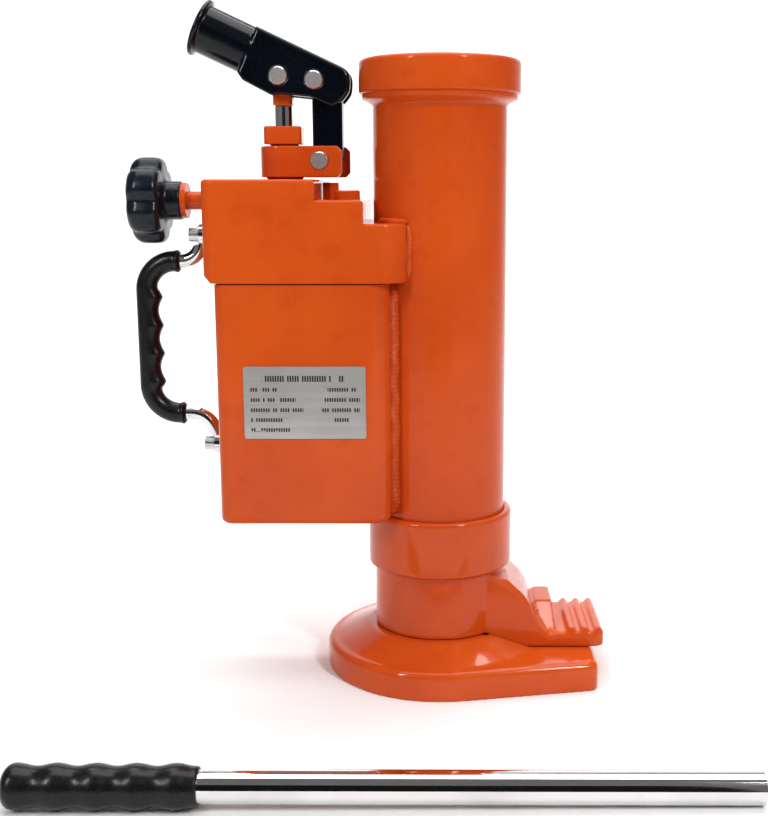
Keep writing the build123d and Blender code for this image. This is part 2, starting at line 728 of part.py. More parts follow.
# Filler plug: screwed cap over the filler hole.
filler_head_r = 8.5
with BuildPart() as filler_plug:
    with BuildSketch(Plane.XY.offset(step_z)):
        with Locations(filler_xy):
            Circle(filler_head_r)
    extrude(amount=6.0)
    chamfer(filler_plug.faces().sort_by(Axis.Z)[-1].edges(), 0.8)
    with BuildSketch(Plane.XY.offset(step_z - 14.0)):
        with Locations(filler_xy):
            Circle(filler_r - fit_gap)
    extrude(amount=14.0)
    with BuildSketch(Plane.XY.offset(step_z + 6.0)):
        with Locations(filler_xy):
            Rectangle(2 * filler_head_r + 1.0, 2.4)
    extrude(amount=-2.2, mode=Mode.SUBTRACT)
filler_plug.part.label = "filler_plug"
export_step(filler_plug.part, "parts/filler_plug.step")

# Delivery valve: ball, spring and the hexagon plug over them.
delivery_ball_r = 3.5
delivery_ball_z = delivery_seat_z + seat_height(delivery_ball_r, seat_r)
delivery_plug_low = step_z - 12.0
with BuildPart() as delivery_plug:
    with BuildSketch(Plane.XY.offset(step_z)):
        with Locations((delivery_x, 0)):
            RegularPolygon(5.4, 6, major_radius=False, rotation=30)
    extrude(amount=11.0)
    chamfer(delivery_plug.faces().sort_by(Axis.Z)[-1].edges(), 0.6)
    with BuildSketch(Plane.XY.offset(delivery_plug_low)):
        with Locations((delivery_x, 0)):
            Circle(delivery_bore_r - fit_gap)
    extrude(amount=12.0)
delivery_plug.part.label = "delivery_plug"
export_step(delivery_plug.part, "parts/delivery_plug.step")
ball("delivery_ball", delivery_ball_r, (delivery_x, 0, delivery_ball_z))
coil_spring(
    "delivery_spring",
    2.6,
    0.45,
    5,
    delivery_ball_z + delivery_ball_r + 0.1,
    delivery_plug_low - 0.1,
    (delivery_x, 0),
)
suction_ball_r = 3.5
suction_ball_z = suction_seat_z + seat_height(suction_ball_r, seat_r)
ball("suction_ball", suction_ball_r, (plunger_x, 0, suction_ball_z))

# Safety valve: small ball held down by a spring under a grub screw.
safety_ball_r = 2.5
safety_ball_z = safety_seat_z + seat_height(safety_ball_r, gallery_r)
safety_screw_low = step_z - 7.5
ball("safety_ball", safety_ball_r, (safety_x, gallery_y, safety_ball_z))
coil_spring(
    "safety_spring",
    2.6,
    0.5,
    3,
    safety_ball_z + safety_ball_r + 0.1,
    safety_screw_low - 0.1,
    (safety_x, gallery_y),
)
with BuildPart() as safety_screw:
    with BuildSketch(Plane.XY.offset(safety_screw_low)):
        with Locations((safety_x, gallery_y)):
            Circle(safety_bore_r - fit_gap)
    extrude(amount=6.5)
    with BuildSketch(Plane.XY.offset(safety_screw_low + 6.5)):
        with Locations((safety_x, gallery_y)):
            RegularPolygon(2.0, 6, major_radius=False)
    extrude(amount=-3.5, mode=Mode.SUBTRACT)
safety_screw.part.label = "safety_screw"
export_step(safety_screw.part, "parts/safety_screw.step")

# =============================================================== hand pump
# Pump barrel: turned stem in the block, round body with two ears that carry
# the link's pin. The far ear is longer.
body_low_z = block_top_z + 1.4
body_high_z = block_top_z + 22.0
packing_r = plunger_r + 3.0
packing_z = block_top_z + 4.0
near_ear_x = link_pin[0] + 14.9
far_ear_x = near_ear_x + 3.9
link_sweep_x = link_pin[0] - 11.5  # the link swings in front of this plane
with BuildPart() as pump_barrel:
    with BuildSketch(Plane.XY.offset(barrel_seat_z)):
        with Locations((plunger_x, 0)):
            Circle(barrel_stem_r)
    extrude(amount=body_low_z - barrel_seat_z)
    with BuildSketch(Plane.XY.offset(body_low_z)):
        with Locations((plunger_x, 0)):
            Circle(ear_out)
        for side, ear_end in ((-1, near_ear_x), (1, far_ear_x)):
            with BuildLine():
                Polyline(
                    (plunger_x, side * ear_out),
                    (ear_end, side * ear_out),
                    (ear_end, side * ear_in),
                    (plunger_x, side * ear_in),
                    close=True,
                )
            make_face()
    extrude(amount=body_high_z - body_low_z)
    ear_ends = pump_barrel.edges().filter_by(Axis.Y)
    chamfer(ear_ends.filter_by(lambda edge: edge.center().X > link_pin[0] + 6.0), 3.0)
    along_y(link_pin[0], link_pin[1], pin_hole_r, -ear_out - 1.0, ear_out + 1.0)
    down((plunger_x, 0), plunger_r + run_gap, barrel_seat_z, body_high_z)
    down((plunger_x, 0), packing_r + fit_gap, packing_z, body_high_z)
    with BuildSketch(Plane.XY.offset(body_low_z)):
        with Locations((link_sweep_x, 0)):
            Rectangle(20.0, 2 * ear_in, align=(Align.MIN, Align.CENTER))
    extrude(amount=body_high_z - body_low_z, mode=Mode.SUBTRACT)
pump_barrel.part.label = "pump_barrel"
export_step(pump_barrel.part, "parts/pump_barrel.step")

# Packing and gland nut: keep the oil in round the plunger.
packing_top = packing_z + 6.0
ring("pump_packing", packing_r, plunger_r + run_gap, packing_z, packing_top, (plunger_x, 0))
nut_low_z = body_high_z + 1.0
nut_high_z = body_high_z + 13.0
nut_width = 25.3
with BuildPart() as gland_nut:
    with BuildSketch(Plane.XY.offset(nut_low_z)):
        with Locations((plunger_x, 0)):
            RectangleRounded(nut_width, nut_width, 4.0)
    extrude(amount=nut_high_z - nut_low_z)
    fillet(gland_nut.faces().sort_by(Axis.Z)[-1].edges(), 1.2)
    with BuildSketch(Plane.XY.offset(packing_top)):
        with Locations((plunger_x, 0)):
            Circle(packing_r)
    extrude(amount=nut_low_z - packing_top)
    down((plunger_x, 0), plunger_r + run_gap, packing_top, nut_high_z)
gland_nut.part.label = "gland_nut"
export_step(gland_nut.part, "parts/gland_nut.step")

# Plunger: chromed rod with a painted head, whose slotted eye lets the lever's
# pin wander as the link swings.
head_low_z = plunger_pin[1] - 18.5
rod_low_z = block_z + 32.5
neck_half = 6.5
pin_drop_gap = 1.1
slot_r = pin_r + pin_drop_gap
slot_half = slot_travel + 0.4
eye_wall = 2.7
ring("plunger_rod", plunger_r, 0.0, rod_low_z, head_low_z, (plunger_x, 0), edge=0.6)
with BuildPart() as plunger_head:
    with BuildSketch(Plane.XZ):
        with Locations((plunger_x, plunger_pin[1])):
            SlotCenterToCenter(2 * slot_half, 2 * (slot_r + eye_wall))
        with Locations((plunger_x, head_low_z)):
            Rectangle(2 * neck_half, 18.5, align=(Align.CENTER, Align.MIN))
        with Locations((plunger_x, plunger_pin[1])):
            SlotCenterToCenter(2 * slot_half, 2 * slot_r, mode=Mode.SUBTRACT)
    extrude(amount=link_half_width, both=True)
    lower_edges = plunger_head.edges().filter_by(Axis.Z)
    fillet(lower_edges.filter_by(lambda edge: edge.center().Z < plunger_pin[1] - 8.0), 3.5)
plunger_head.part.label = "plunger_head"
export_step(plunger_head.part, "parts/plunger_head.step")

# Link: forged strap from the barrel's ears up to the lever's pin.
link_left = lever_pin[0] - 2.0
link_right = lever_pin[0] + 18.0
link_eye_r = 9.2
with BuildPart() as link:
    with BuildSketch(Plane.XZ):
        with BuildLine():
            Polyline(
                (link_left, link_pin[1] - 5.0),
                (link_left + 6.0, link_pin[1] - 9.5),
                (link_pin[0] + 9.0, link_pin[1] - 8.5),
                (link_right, link_pin[1] + 3.0),
                (link_right, lever_pin[1] - 9.0),
                (lever_pin[0] + 8.0, lever_pin[1] + 4.0),
                (link_left, lever_pin[1] + 4.0),
                close=True,
            )
        make_face()
        with Locations(link_pin, lever_pin):
            Circle(link_eye_r)
        with Locations(link_pin, lever_pin):
            Circle(pin_hole_r, mode=Mode.SUBTRACT)
    extrude(amount=link_half_width, both=True)
link.part.label = "link"
export_step(link.part, "parts/link.step")

# Pump lever: two cheeks under a web, running into a round socket with a
# flared mouth for the pumping bar.
lever_angle = 24.9
along = (-cos(radians(lever_angle)), 0.0, sin(radians(lever_angle)))
lever_plane = Plane(origin=(lever_pin[0], 0, lever_pin[1]), x_dir=along, z_dir=(0, 1, 0))
socket_r = ear_out
socket_start = 42.0
socket_mouth = 85.0
socket_bore_r = bar_r + 0.4
socket_drop = 0.5
cheek_top = 15.5
web_low = 11.0
with BuildPart() as pump_lever:
    with BuildSketch(lever_plane) as cheeks:
        with BuildLine():
            Polyline(
                (socket_start + 6.0, cheek_top),
                (-12.0, cheek_top),
            )
            Spline(
                (-12.0, cheek_top),
                (-19.5, 13.2),
                (-23.3, 6.0),
                (-22.7, -4.9),
                tangents=[(-1, 0), (0.3, -1)],
            )
            Polyline(
                (-22.7, -4.9),
                (-17.5, -10.6),
                (-2.5, -11.1),
                (15.9, -17.4),
                (21.4, -20.8),
                (42.4, -19.9),
                (socket_start + 6.0, -socket_r - socket_drop),
                (socket_start + 6.0, cheek_top),
            )
        make_face()
    extrude(amount=ear_out, both=True)
    long_edges = pump_lever.edges().filter_by(lambda edge: abs(abs(edge.center().Y) - ear_out) < 0.01)
    fillet(long_edges.filter_by(lambda edge: edge.center().Z > lever_pin[1] + 9.5), 3.0)
    with BuildSketch(lever_plane):
        with BuildLine():
            Polyline(
                (socket_start, web_low),
                (-9.0, web_low),
                (-9.0, cheek_top + 1.0),
                (-30.0, cheek_top + 1.0),
                (-30.0, -25.0),
                (socket_start, -25.0),
                close=True,
            )
        make_face()
    extrude(amount=ear_in, both=True, mode=Mode.SUBTRACT)
    mouth_plane = Plane(
        origin=lever_plane.from_local_coords((socket_start, -socket_drop, 0)),
        x_dir=(0, 1, 0),
        z_dir=along,
    )
    with BuildSketch(mouth_plane):
        Circle(socket_r)
    extrude(amount=socket_mouth - socket_start)
    with BuildSketch(mouth_plane.offset(socket_mouth - socket_start - 3.5)):
        Circle(socket_r + 3.2)
    extrude(amount=3.5)
    flare_edges = pump_lever.edges().filter_by(GeomType.CIRCLE).group_by(SortBy.RADIUS)[-1]
    fillet(flare_edges, 1.4)
    with BuildSketch(mouth_plane.offset(4.0)):
        Circle(socket_bore_r)
    extrude(amount=socket_mouth - socket_start, mode=Mode.SUBTRACT)
    for spot in (lever_pin, plunger_pin):
        along_y(spot[0], spot[1], pin_r + fit_gap, -ear_out - 1.0, ear_out + 1.0)
pump_lever.part.label = "pump_lever"
export_step(pump_lever.part, "parts/pump_lever.step")

# Pins: ground pins with a chamfered end, each held by a circlip at the back.
pin_near = -ear_out - 1.0
pin_far = ear_out + 2.5
clip_y = ear_out + 0.5
clip_width = 1.0
groove_r = pin_r - 0.6
for name, spot in (
    ("plunger_pin", plunger_pin),
    ("lever_pin", lever_pin),
    ("link_pin", link_pin),
):
    with BuildPart() as pin:
        with BuildSketch(Plane.XZ.offset(-pin_near)):
            with Locations(spot):
                Circle(pin_r)
        extrude(amount=pin_near - pin_far)
        chamfer(pin.edges().filter_by(GeomType.CIRCLE), 0.7)
        with BuildSketch(Plane.XZ.offset(-clip_y)):
            with Locations(spot):
                Circle(pin_r + 1.0)
                Circle(groove_r, mode=Mode.SUBTRACT)
        extrude(amount=-clip_width - 0.1, mode=Mode.SUBTRACT)
    pin.part.label = name
    export_step(pin.part, f"parts/{name}.step")

# Circlips: spring rings in the grooves of the pins.
for name, spots in (
    ("lever_circlips", [plunger_pin, lever_pin]),
    ("link_circlip", [link_pin]),
):
    with BuildPart() as circlip:
        with BuildSketch(Plane.XZ.offset(-clip_y - 0.05)):
            with Locations(*spots):
                Circle(pin_r + 1.6)
                Circle(groove_r + fit_gap, mode=Mode.SUBTRACT)
            with Locations(*[(x, z + pin_r) for x, z in spots]):
                Rectangle(4.0, 6.0, mode=Mode.SUBTRACT)
        extrude(amount=-clip_width)
    circlip.part.label = name
    export_step(circlip.part, f"parts/{name}.step")

# ============================================================ release valve
# Release bush and seal: screwed into the block round the spindle.
bush_flange = 2.0  # how far the bush stands out of the block
bush_outer_x = block_back_x - bush_flange
spindle_seal_width = 3.0
spindle_r = release_bore_r - run_gap
knob_hub_x = block_back_x - 22.0  # face of the knob's hub
with BuildPart() as release_bush:
    with BuildSketch(Plane.YZ.offset(bush_outer_x)):
        with Locations((0, release_z)):
            Circle(release_bush_r)
            Circle(spindle_r + run_gap, mode=Mode.SUBTRACT)
    extrude(amount=release_bush_length + bush_flange - spindle_seal_width)
release_bush.part.label = "release_bush"
export_step(release_bush.part, "parts/release_bush.step")
with BuildPart() as spindle_seal:
    with BuildSketch(Plane.YZ.offset(bush_bore_end_x - spindle_seal_width + 0.1)):
        with Locations((0, release_z)):
            Circle(release_bush_r)
            Circle(spindle_r + run_gap, mode=Mode.SUBTRACT)
    extrude(amount=spindle_seal_width - 0.2)
spindle_seal.part.label = "spindle_seal"
export_step(spindle_seal.part, "parts/spindle_seal.step")

# Release spindle: screwed stem with a flange for the knob and a thin nose
# that holds the ball down on its seat.
release_ball_r = 3.0
release_ball_x = release_seat_x - seat_height(release_ball_r, release_seat_r)
nose_r = 2.9
nose_length = 8.0
flange_r = 12.0
flange_width = 3.5
stem_r = 5.0
stem_length = 22.0
with BuildPart() as release_spindle:
    with BuildSketch(Plane.YZ.offset(knob_hub_x + flange_width)):
        with Locations((0, release_z)):
            Circle(spindle_r)
    extrude(amount=release_ball_x - release_ball_r - nose_length - knob_hub_x - flange_width)
    with BuildSketch(Plane.YZ.offset(release_ball_x - release_ball_r - nose_length)):
        with Locations((0, release_z)):
            Circle(nose_r)
    extrude(amount=nose_length)
    with BuildSketch(Plane.YZ.offset(knob_hub_x)):
        with Locations((0, release_z)):
            Circle(flange_r)
    extrude(amount=flange_width)
    with BuildSketch(Plane.YZ.offset(knob_hub_x - stem_length)):
        with Locations((0, release_z)):
            Circle(stem_r)
    extrude(amount=stem_length)
release_spindle.part.label = "release_spindle"
export_step(release_spindle.part, "parts/release_spindle.step")
ball("release_ball", release_ball_r, (release_ball_x, 0, release_z))

# Release knob: moulded lobed disc on a hub, with a steel insert inside.
hub_r = 13.0
hub_length = 11.5
knob_r = 29.0
knob_thickness = 22.5
lobes = 6
insert_r = 8.0
insert_length = 20.0
with BuildPart() as release_knob:
    with BuildSketch(Plane.YZ.offset(knob_hub_x - hub_length - knob_thickness)):
        with Locations((0, release_z)):
            Circle(knob_r)
            with PolarLocations(knob_r + 6.5, lobes, start_angle=30.0):
                Circle(10.5, mode=Mode.SUBTRACT)
        fillet(vertices(), 3.0)
    extrude(amount=knob_thickness)
    fillet(release_knob.faces().sort_by(Axis.X)[0].edges(), 5.0)
    fillet(release_knob.faces().sort_by(Axis.X)[-1].edges(), 4.0)
    with BuildSketch(Plane.YZ.offset(knob_hub_x - hub_length)):
        with Locations((0, release_z)):
            Circle(hub_r)
    extrude(amount=hub_length)
    along_x(0, release_z, insert_r + fit_gap, knob_hub_x - insert_length - 4.0, knob_hub_x)
release_knob.part.label = "release_knob"
export_step(release_knob.part, "parts/release_knob.step")
with BuildPart() as knob_insert:
    with BuildSketch(Plane.YZ.offset(knob_hub_x - insert_length - 3.5)):
        with Locations((0, release_z)):
            Circle(insert_r)
    extrude(amount=insert_length + 3.4)
    along_x(0, release_z, stem_r + fit_gap, knob_hub_x - stem_length - 0.5, knob_hub_x)
knob_insert.part.label = "knob_insert"
export_step(knob_insert.part, "parts/knob_insert.step")

# ============================================================= carry handle
# Handle: chromed rod bent to a bow, its ends flattened into eyes that are
# bolted to the block and to the tank.
rod_r = 5.0
upper_leg_x = block_back_x - handle_boss - rod_r
lower_leg_x = tank_back_x - handle_boss - rod_r
bow_x = block_back_x - 49.5
bow_top_z = handle_head_z - 18.0
bow_low_z = handle_foot_z + 21.5
eye_r = 7.5
with BuildPart() as carry_handle:
    with BuildLine() as handle_path:
        FilletPolyline(
            (upper_leg_x, 0, handle_head_z),
            (upper_leg_x, 0, bow_top_z),
            (bow_x, 0, bow_top_z),
            (bow_x, 0, bow_low_z),
            (lower_leg_x, 0, bow_low_z),
            (lower_leg_x, 0, handle_foot_z),
            radius=[13.0, 20.0, 20.0, 16.0],
        )
    with BuildSketch(Plane(origin=handle_path.line @ 0, z_dir=handle_path.line % 0)):
        Circle(rod_r)
    sweep()
    for leg_x, eye_z in ((upper_leg_x, handle_head_z), (lower_leg_x, handle_foot_z)):
        with BuildSketch(Plane.YZ.offset(leg_x)):
            with Locations((0, eye_z)):
                Circle(eye_r)
        extrude(amount=rod_r)
        with BuildSketch(Plane.YZ.offset(leg_x - rod_r - 1.0)):
            with Locations((0, eye_z)):
                Circle(eye_r + 0.5)
        extrude(amount=rod_r + 1.0, mode=Mode.SUBTRACT)
        along_x(0, eye_z, bolt_r + 0.3, leg_x - 1.0, leg_x + rod_r + 1.0)
carry_handle.part.label = "carry_handle"
export_step(carry_handle.part, "parts/carry_handle.step")

# Handle grip: moulded sleeve of even thickness round the bow.
grip_r = 7.5
grip_end_x = bow_x + 24.5
with BuildPart() as handle_grip:
    with BuildLine() as grip_path:
        FilletPolyline(
            (grip_end_x, 0, bow_top_z),
            (bow_x, 0, bow_top_z),
            (bow_x, 0, bow_low_z),
            (grip_end_x, 0, bow_low_z),
            radius=[20.0, 20.0],
        )
    with BuildSketch(Plane(origin=grip_path.line @ 0, z_dir=grip_path.line % 0)):
        Circle(grip_r)
        Circle(rod_r + fit_gap, mode=Mode.SUBTRACT)
    sweep()
handle_grip.part.label = "handle_grip"
export_step(handle_grip.part, "parts/handle_grip.step")

# Handle bolts and washers: one pair in the block, one in the tank's boss.
washer_thickness = 1.2
bolt_head_r = 5.0
bolt_head_height = 6.0
bolt_grip = 8.0  # how far a bolt reaches past the outer face of the block or the tank
with BuildPart() as handle_washers:
    for leg_x, eye_z in ((upper_leg_x, handle_head_z), (lower_leg_x, handle_foot_z)):
        with BuildSketch(Plane.YZ.offset(leg_x - washer_thickness)):
            with Locations((0, eye_z)):
                Circle(6.2)
                Circle(bolt_r + 0.2, mode=Mode.SUBTRACT)
        extrude(amount=washer_thickness)
handle_washers.part.label = "handle_washers"
export_step(handle_washers.part, "parts/handle_washers.step")
with BuildPart() as handle_bolts:
    for leg_x, eye_z in ((upper_leg_x, handle_head_z), (lower_leg_x, handle_foot_z)):
        head_x = leg_x - washer_thickness - bolt_head_height
        with BuildSketch(Plane.YZ.offset(head_x)):
            with Locations((0, eye_z)):
                Circle(bolt_head_r)
        extrude(amount=bolt_head_height)
        with BuildSketch(Plane.YZ.offset(head_x)):
            with Locations((0, eye_z)):
                Circle(bolt_r)
        extrude(amount=bolt_head_height + washer_thickness + rod_r + handle_boss + bolt_grip)
        with BuildSketch(Plane.YZ.offset(head_x)):
            with Locations((0, eye_z)):
                RegularPolygon(2.5, 6, major_radius=False)
        extrude(amount=3.5, mode=Mode.SUBTRACT)
handle_bolts.part.label = "handle_bolts"
export_step(handle_bolts.part, "parts/handle_bolts.step")

# ============================================================== pumping bar
# Bar and grip: chromed tube with a moulded grip, lying on the floor in front
# of the jack, so its axis dips from the last lobe of the grip to the tube's
# end. It lies a little askew, its end nearer to the jack.
bar_end_x, bar_end_y = 179.5, -213.0
bar_turn = 0.0143  # how far the bar runs towards +Y per mm along X
bar_grip_length = 108.0
lobe_count = 5
lobe_pitch = 20.5
bar_start_x = bar_end_x - bar_length
touch_x = bar_start_x + bar_grip_length - 9.0
bar_slope = (grip_lobe_r - bar_r) / (bar_end_x - touch_x)
bar_start = (bar_start_x, bar_end_y - bar_turn * bar_length, bar_r + bar_slope * bar_length)
bar_way = (1, bar_turn, -bar_slope)
bar_plane = Plane(origin=bar_start, x_dir=bar_way, z_dir=(bar_turn, -1, 0))
bar_axis = Axis(bar_start, bar_way)
bar_wall = 2.0
bar_end_wall = 3.0  # disc that closes the end of the tube
grip_end_wall = 6.0
grip_seat_r = bar_r - 0.4  # the tube is turned down a little where the grip sits
grip_seat_end = bar_grip_length + 2.0
with BuildPart() as bar_tube:
    with BuildSketch(bar_plane):
        with BuildLine():
            Polyline(
                (grip_end_wall, grip_seat_r),
                (grip_seat_end, grip_seat_r),
                (grip_seat_end, bar_r),
                (bar_length, bar_r),
                (bar_length, 0.0),
                (bar_length - bar_end_wall, 0.0),
                (bar_length - bar_end_wall, bar_r - bar_wall),
                (grip_end_wall, bar_r - bar_wall),
                close=True,
            )
        make_face()
    revolve(axis=bar_axis)
bar_tube.part.label = "bar_tube"
export_step(bar_tube.part, "parts/bar_tube.step")

grip_neck_r = 11.0
grip_end_r = grip_lobe_r - 1.2
lobe_points = []
for count in range(lobe_count):
    crest = bar_grip_length - 9.0 - (lobe_count - 1 - count) * lobe_pitch
    lobe_points += [(crest, grip_lobe_r), (crest + lobe_pitch / 2, grip_neck_r)]
with BuildPart() as bar_grip:
    with BuildSketch(bar_plane):
        with BuildLine():
            Spline((0.0, 0.0), (1.2, 6.5), *lobe_points[:-1], (bar_grip_length, grip_end_r))
            Polyline(
                (bar_grip_length, grip_end_r),
                (bar_grip_length, grip_seat_r + fit_gap),
                (grip_end_wall - 0.5, grip_seat_r + fit_gap),
                (grip_end_wall - 0.5, 0.0),
                (0.0, 0.0),
            )
        make_face()
    revolve(axis=bar_axis)
bar_grip.part.label = "bar_grip"
export_step(bar_grip.part, "parts/bar_grip.step")
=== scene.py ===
import json
from math import pi, radians

import bpy
import numpy as np
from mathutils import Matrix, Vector


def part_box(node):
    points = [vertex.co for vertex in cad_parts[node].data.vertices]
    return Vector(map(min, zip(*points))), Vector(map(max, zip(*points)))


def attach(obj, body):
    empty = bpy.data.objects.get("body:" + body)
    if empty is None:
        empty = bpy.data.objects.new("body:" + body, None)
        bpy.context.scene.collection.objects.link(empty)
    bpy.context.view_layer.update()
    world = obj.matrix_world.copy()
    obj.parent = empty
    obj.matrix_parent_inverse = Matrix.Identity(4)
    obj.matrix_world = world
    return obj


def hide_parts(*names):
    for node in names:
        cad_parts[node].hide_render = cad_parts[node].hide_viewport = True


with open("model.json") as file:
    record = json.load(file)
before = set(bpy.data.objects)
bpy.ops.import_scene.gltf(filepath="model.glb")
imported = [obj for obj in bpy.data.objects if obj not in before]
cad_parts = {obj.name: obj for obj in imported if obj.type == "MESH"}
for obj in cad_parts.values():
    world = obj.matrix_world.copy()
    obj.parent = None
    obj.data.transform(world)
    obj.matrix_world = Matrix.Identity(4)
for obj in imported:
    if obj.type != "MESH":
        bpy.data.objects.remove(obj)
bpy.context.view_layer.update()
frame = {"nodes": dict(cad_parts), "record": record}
nodes = frame["nodes"]
scene = bpy.context.scene

# ================================================================== camera
# The jack is seen from its data plate's side, a little above the pump block,
# and it stands right of the middle because its knob and handle reach left.
camera_data = bpy.data.cameras.new("camera")
camera_data.sensor_width = 36.0
camera_data.lens = 52.94
camera_data.shift_x = -0.0686
camera_data.clip_start = 0.01
camera = bpy.data.objects.new("camera", camera_data)
camera.location = (0.0, -0.829, 0.338)
camera.rotation_euler = (radians(79.5), 0.0, 0.0)
scene.collection.objects.link(camera)
scene.camera = camera


# =================================================================== floor
# A white sheet of paper lies under the jack and curves up behind it.
def surface(name, points, around=False, start=None, end=None):
    """A quad surface through an (n, m, 3) array of points, as a new object.

    Point (i, j) joins its neighbours in both directions. Around joins the last
    column to the first. A start or end point closes the first or last row with
    a fan of triangles.
    """
    rows, columns = points.shape[:2]
    index = np.arange(rows * columns).reshape(rows, columns)
    i = np.arange(rows - 1)[:, None]
    j = np.arange(columns if around else columns - 1)[None, :]
    next_j = (j + 1) % columns
    quads = np.stack([index[i, j], index[i, next_j], index[i + 1, next_j], index[i + 1, j]], -1)
    faces = quads.reshape(-1, 4).tolist()
    vertices = points.reshape(-1, 3).tolist()
    for tip, row, turn in ((start, index[0], -1), (end, index[-1], 1)):
        if tip is not None:
            after = np.roll(row, -turn)
            fan = np.stack([np.full(columns, len(vertices)), row, after], -1)
            faces += fan.tolist()
            vertices.append(list(tip))
    mesh = bpy.data.meshes.new(name)
    mesh.from_pydata(vertices, [], faces)
    mesh.polygons.foreach_set("use_smooth", np.full(len(faces), True))
    mesh.update()
    piece = bpy.data.objects.new(name, mesh)
    scene.collection.objects.link(piece)
    return piece


class Wire:
    """One socket of a material, with the operators that shader maths uses."""

    def __init__(self, tree, socket):
        self.tree = tree
        self.socket = socket

    def work(self, operation, *values):
        """A Math node on this tree, its inputs linked or set."""
        made = self.tree.nodes.new("ShaderNodeMath")
        made.operation = operation
        for slot, value in zip(made.inputs, values):
            if isinstance(value, Wire):
                self.tree.links.new(value.socket, slot)
            else:
                slot.default_value = value
        return Wire(self.tree, made.outputs[0])

    def __add__(self, other):
        return self.work("ADD", self, other)

    def __sub__(self, other):
        return self.work("SUBTRACT", self, other)

    def __rsub__(self, other):
        return self.work("SUBTRACT", other, self)

    def __mul__(self, other):
        return self.work("MULTIPLY", self, other)

    def __pow__(self, other):
        return self.work("POWER", self, other)

    def __gt__(self, other):
        return self.work("GREATER_THAN", self, other)

    def __lt__(self, other):
        return self.work("LESS_THAN", self, other)


class Finish:
    """A material being made: its nodes, and its shader's sockets by name."""

    def __init__(self, name):
        self.material = bpy.data.materials.new(name)
        self.material.use_nodes = True
        self.tree = self.material.node_tree
        self.shader = self.tree.nodes["Principled BSDF"]
        self.place = self.node("TexCoord", output="Object")

    def node(self, kind, settings=None, inputs=None, output=0):
        """Any node: its settings first, then the values or links of its sockets."""
        made = self.tree.nodes.new("ShaderNode" + kind)
        for key, value in (settings or {}).items():
            setattr(made, key, value)
        self.fill(made, inputs or {})
        return Wire(self.tree, made.outputs[output])

    def fill(self, made, inputs):
        """Sets or links a node's sockets, given by name or number."""
        for key, value in inputs.items():
            if isinstance(value, Wire):
                self.tree.links.new(value.socket, made.inputs[key])
            else:
                made.inputs[key].default_value = value

    def noise(self, scale, detail=2.0, rough=0.5, stretch=(1.0, 1.0, 1.0)):
        """Noise from 0 to 1 on the piece's own coordinates, squeezed by stretch."""
        place = self.node("Mapping", None, {"Vector": self.place, "Scale": stretch})
        inputs = {"Vector": place, "Scale": scale, "Detail": detail, "Roughness": rough}
        return self.node("TexNoise", None, inputs)

    def span(self, value, low, high, to_low=0.0, to_high=1.0):
        """Value carried from low..high to to_low..to_high and held there."""
        inputs = {0: value, 1: low, 2: high, 3: to_low, 4: to_high}
        return self.node("MapRange", None, inputs)

    def blend(self, share, one, two):
        """A colour between one and two."""
        return self.node("Mix", {"data_type": "RGBA"}, {0: share, 6: one, 7: two}, output=2)

    def axis(self, letter):
        """One coordinate of the point, in metres."""
        return self.node("SeparateXYZ", None, {"Vector": self.place}, output=letter)

    def relief(self, height):
        """The surface's normal, tipped by a height in metres."""
        return self.node("Bump", None, {"Height": height, "Distance": 1.0, "Strength": 1.0})

    def set(self, **values):
        """Sets the shader's sockets, named with _ for a space."""
        self.fill(self.shader, {key.replace("_", " "): value for key, value in values.items()})
        return self


def dress(finish, *names):
    """Gives CAD nodes a finish."""
    for name in names:
        mesh = nodes[name].data
        mesh.materials.clear()
        mesh.materials.append(finish.material)


sheet_half_width, sheet_top = 5.0, 3.2
sheet_front, sheet_back = -4.0, 1.5
bend_r = 1.0
bend = np.linspace(0.0, pi / 2, 24)
profile_y = np.concatenate([[sheet_front], sheet_back + bend_r * np.sin(bend), [sheet_back + bend_r]])
profile_z = np.concatenate([[0.0], bend_r * (1 - np.cos(bend)), [sheet_top]])
across = np.array([-sheet_half_width, sheet_half_width])[:, None]
sheet_points = np.stack(np.broadcast_arrays(across, profile_y, profile_z), -1)
paper = surface("paper_sweep", sheet_points[::-1])
paper_finish = Finish("white_paper")
fibre = paper_finish.noise(900.0, 3.0)
tone = paper_finish.blend(fibre, (0.93, 0.93, 0.93, 1.0), (0.96, 0.96, 0.96, 1.0))
paper_finish.set(Base_Color=tone, Roughness=0.95, Specular_IOR_Level=0.05)
paper.data.materials.append(paper_finish.material)

# ================================================================== light
# Soft boxes round the jack in a dim white room: gloss enamel shows them as
# upright bands, so they are tall and narrow. None of them is seen itself.
scene.view_settings.view_transform = "Standard"
scene.view_settings.exposure = 0.0
room = bpy.data.worlds.new("room")
room.use_nodes = True
room.node_tree.nodes["Background"].inputs["Color"].default_value = (1.0, 1.0, 1.0, 1.0)
room.node_tree.nodes["Background"].inputs["Strength"].default_value = 0.16
scene.world = room


def soft_box(name, place, target, size, power):
    """A rectangular lamp at place that faces target."""
    lamp = bpy.data.lights.new(name, "AREA")
    lamp.shape = "RECTANGLE"
    lamp.size, lamp.size_y = size
    lamp.energy = power
    box = bpy.data.objects.new(name, lamp)
    box.location = place
    box.rotation_euler = (Vector(target) - Vector(place)).to_track_quat("-Z", "Y").to_euler()
    box.visible_camera = False
    scene.collection.objects.link(box)


soft_box("key_box", (0.80, -1.05, 1.20), (0.0, 0.0, 0.20), (0.10, 0.62), 13.0)
soft_box("fill_box", (-0.85, -0.95, 1.00), (-0.05, 0.0, 0.20), (0.07, 0.60), 7.0)
soft_box("roof_box", (0.0, 0.0, 1.50), (0.0, 0.0, 0.0), (1.30, 0.80), 11.0)
soft_box("paper_box", (0.0, 0.9, 1.9), (0.0, 2.3, 0.5), (2.4, 0.6), 50.0)

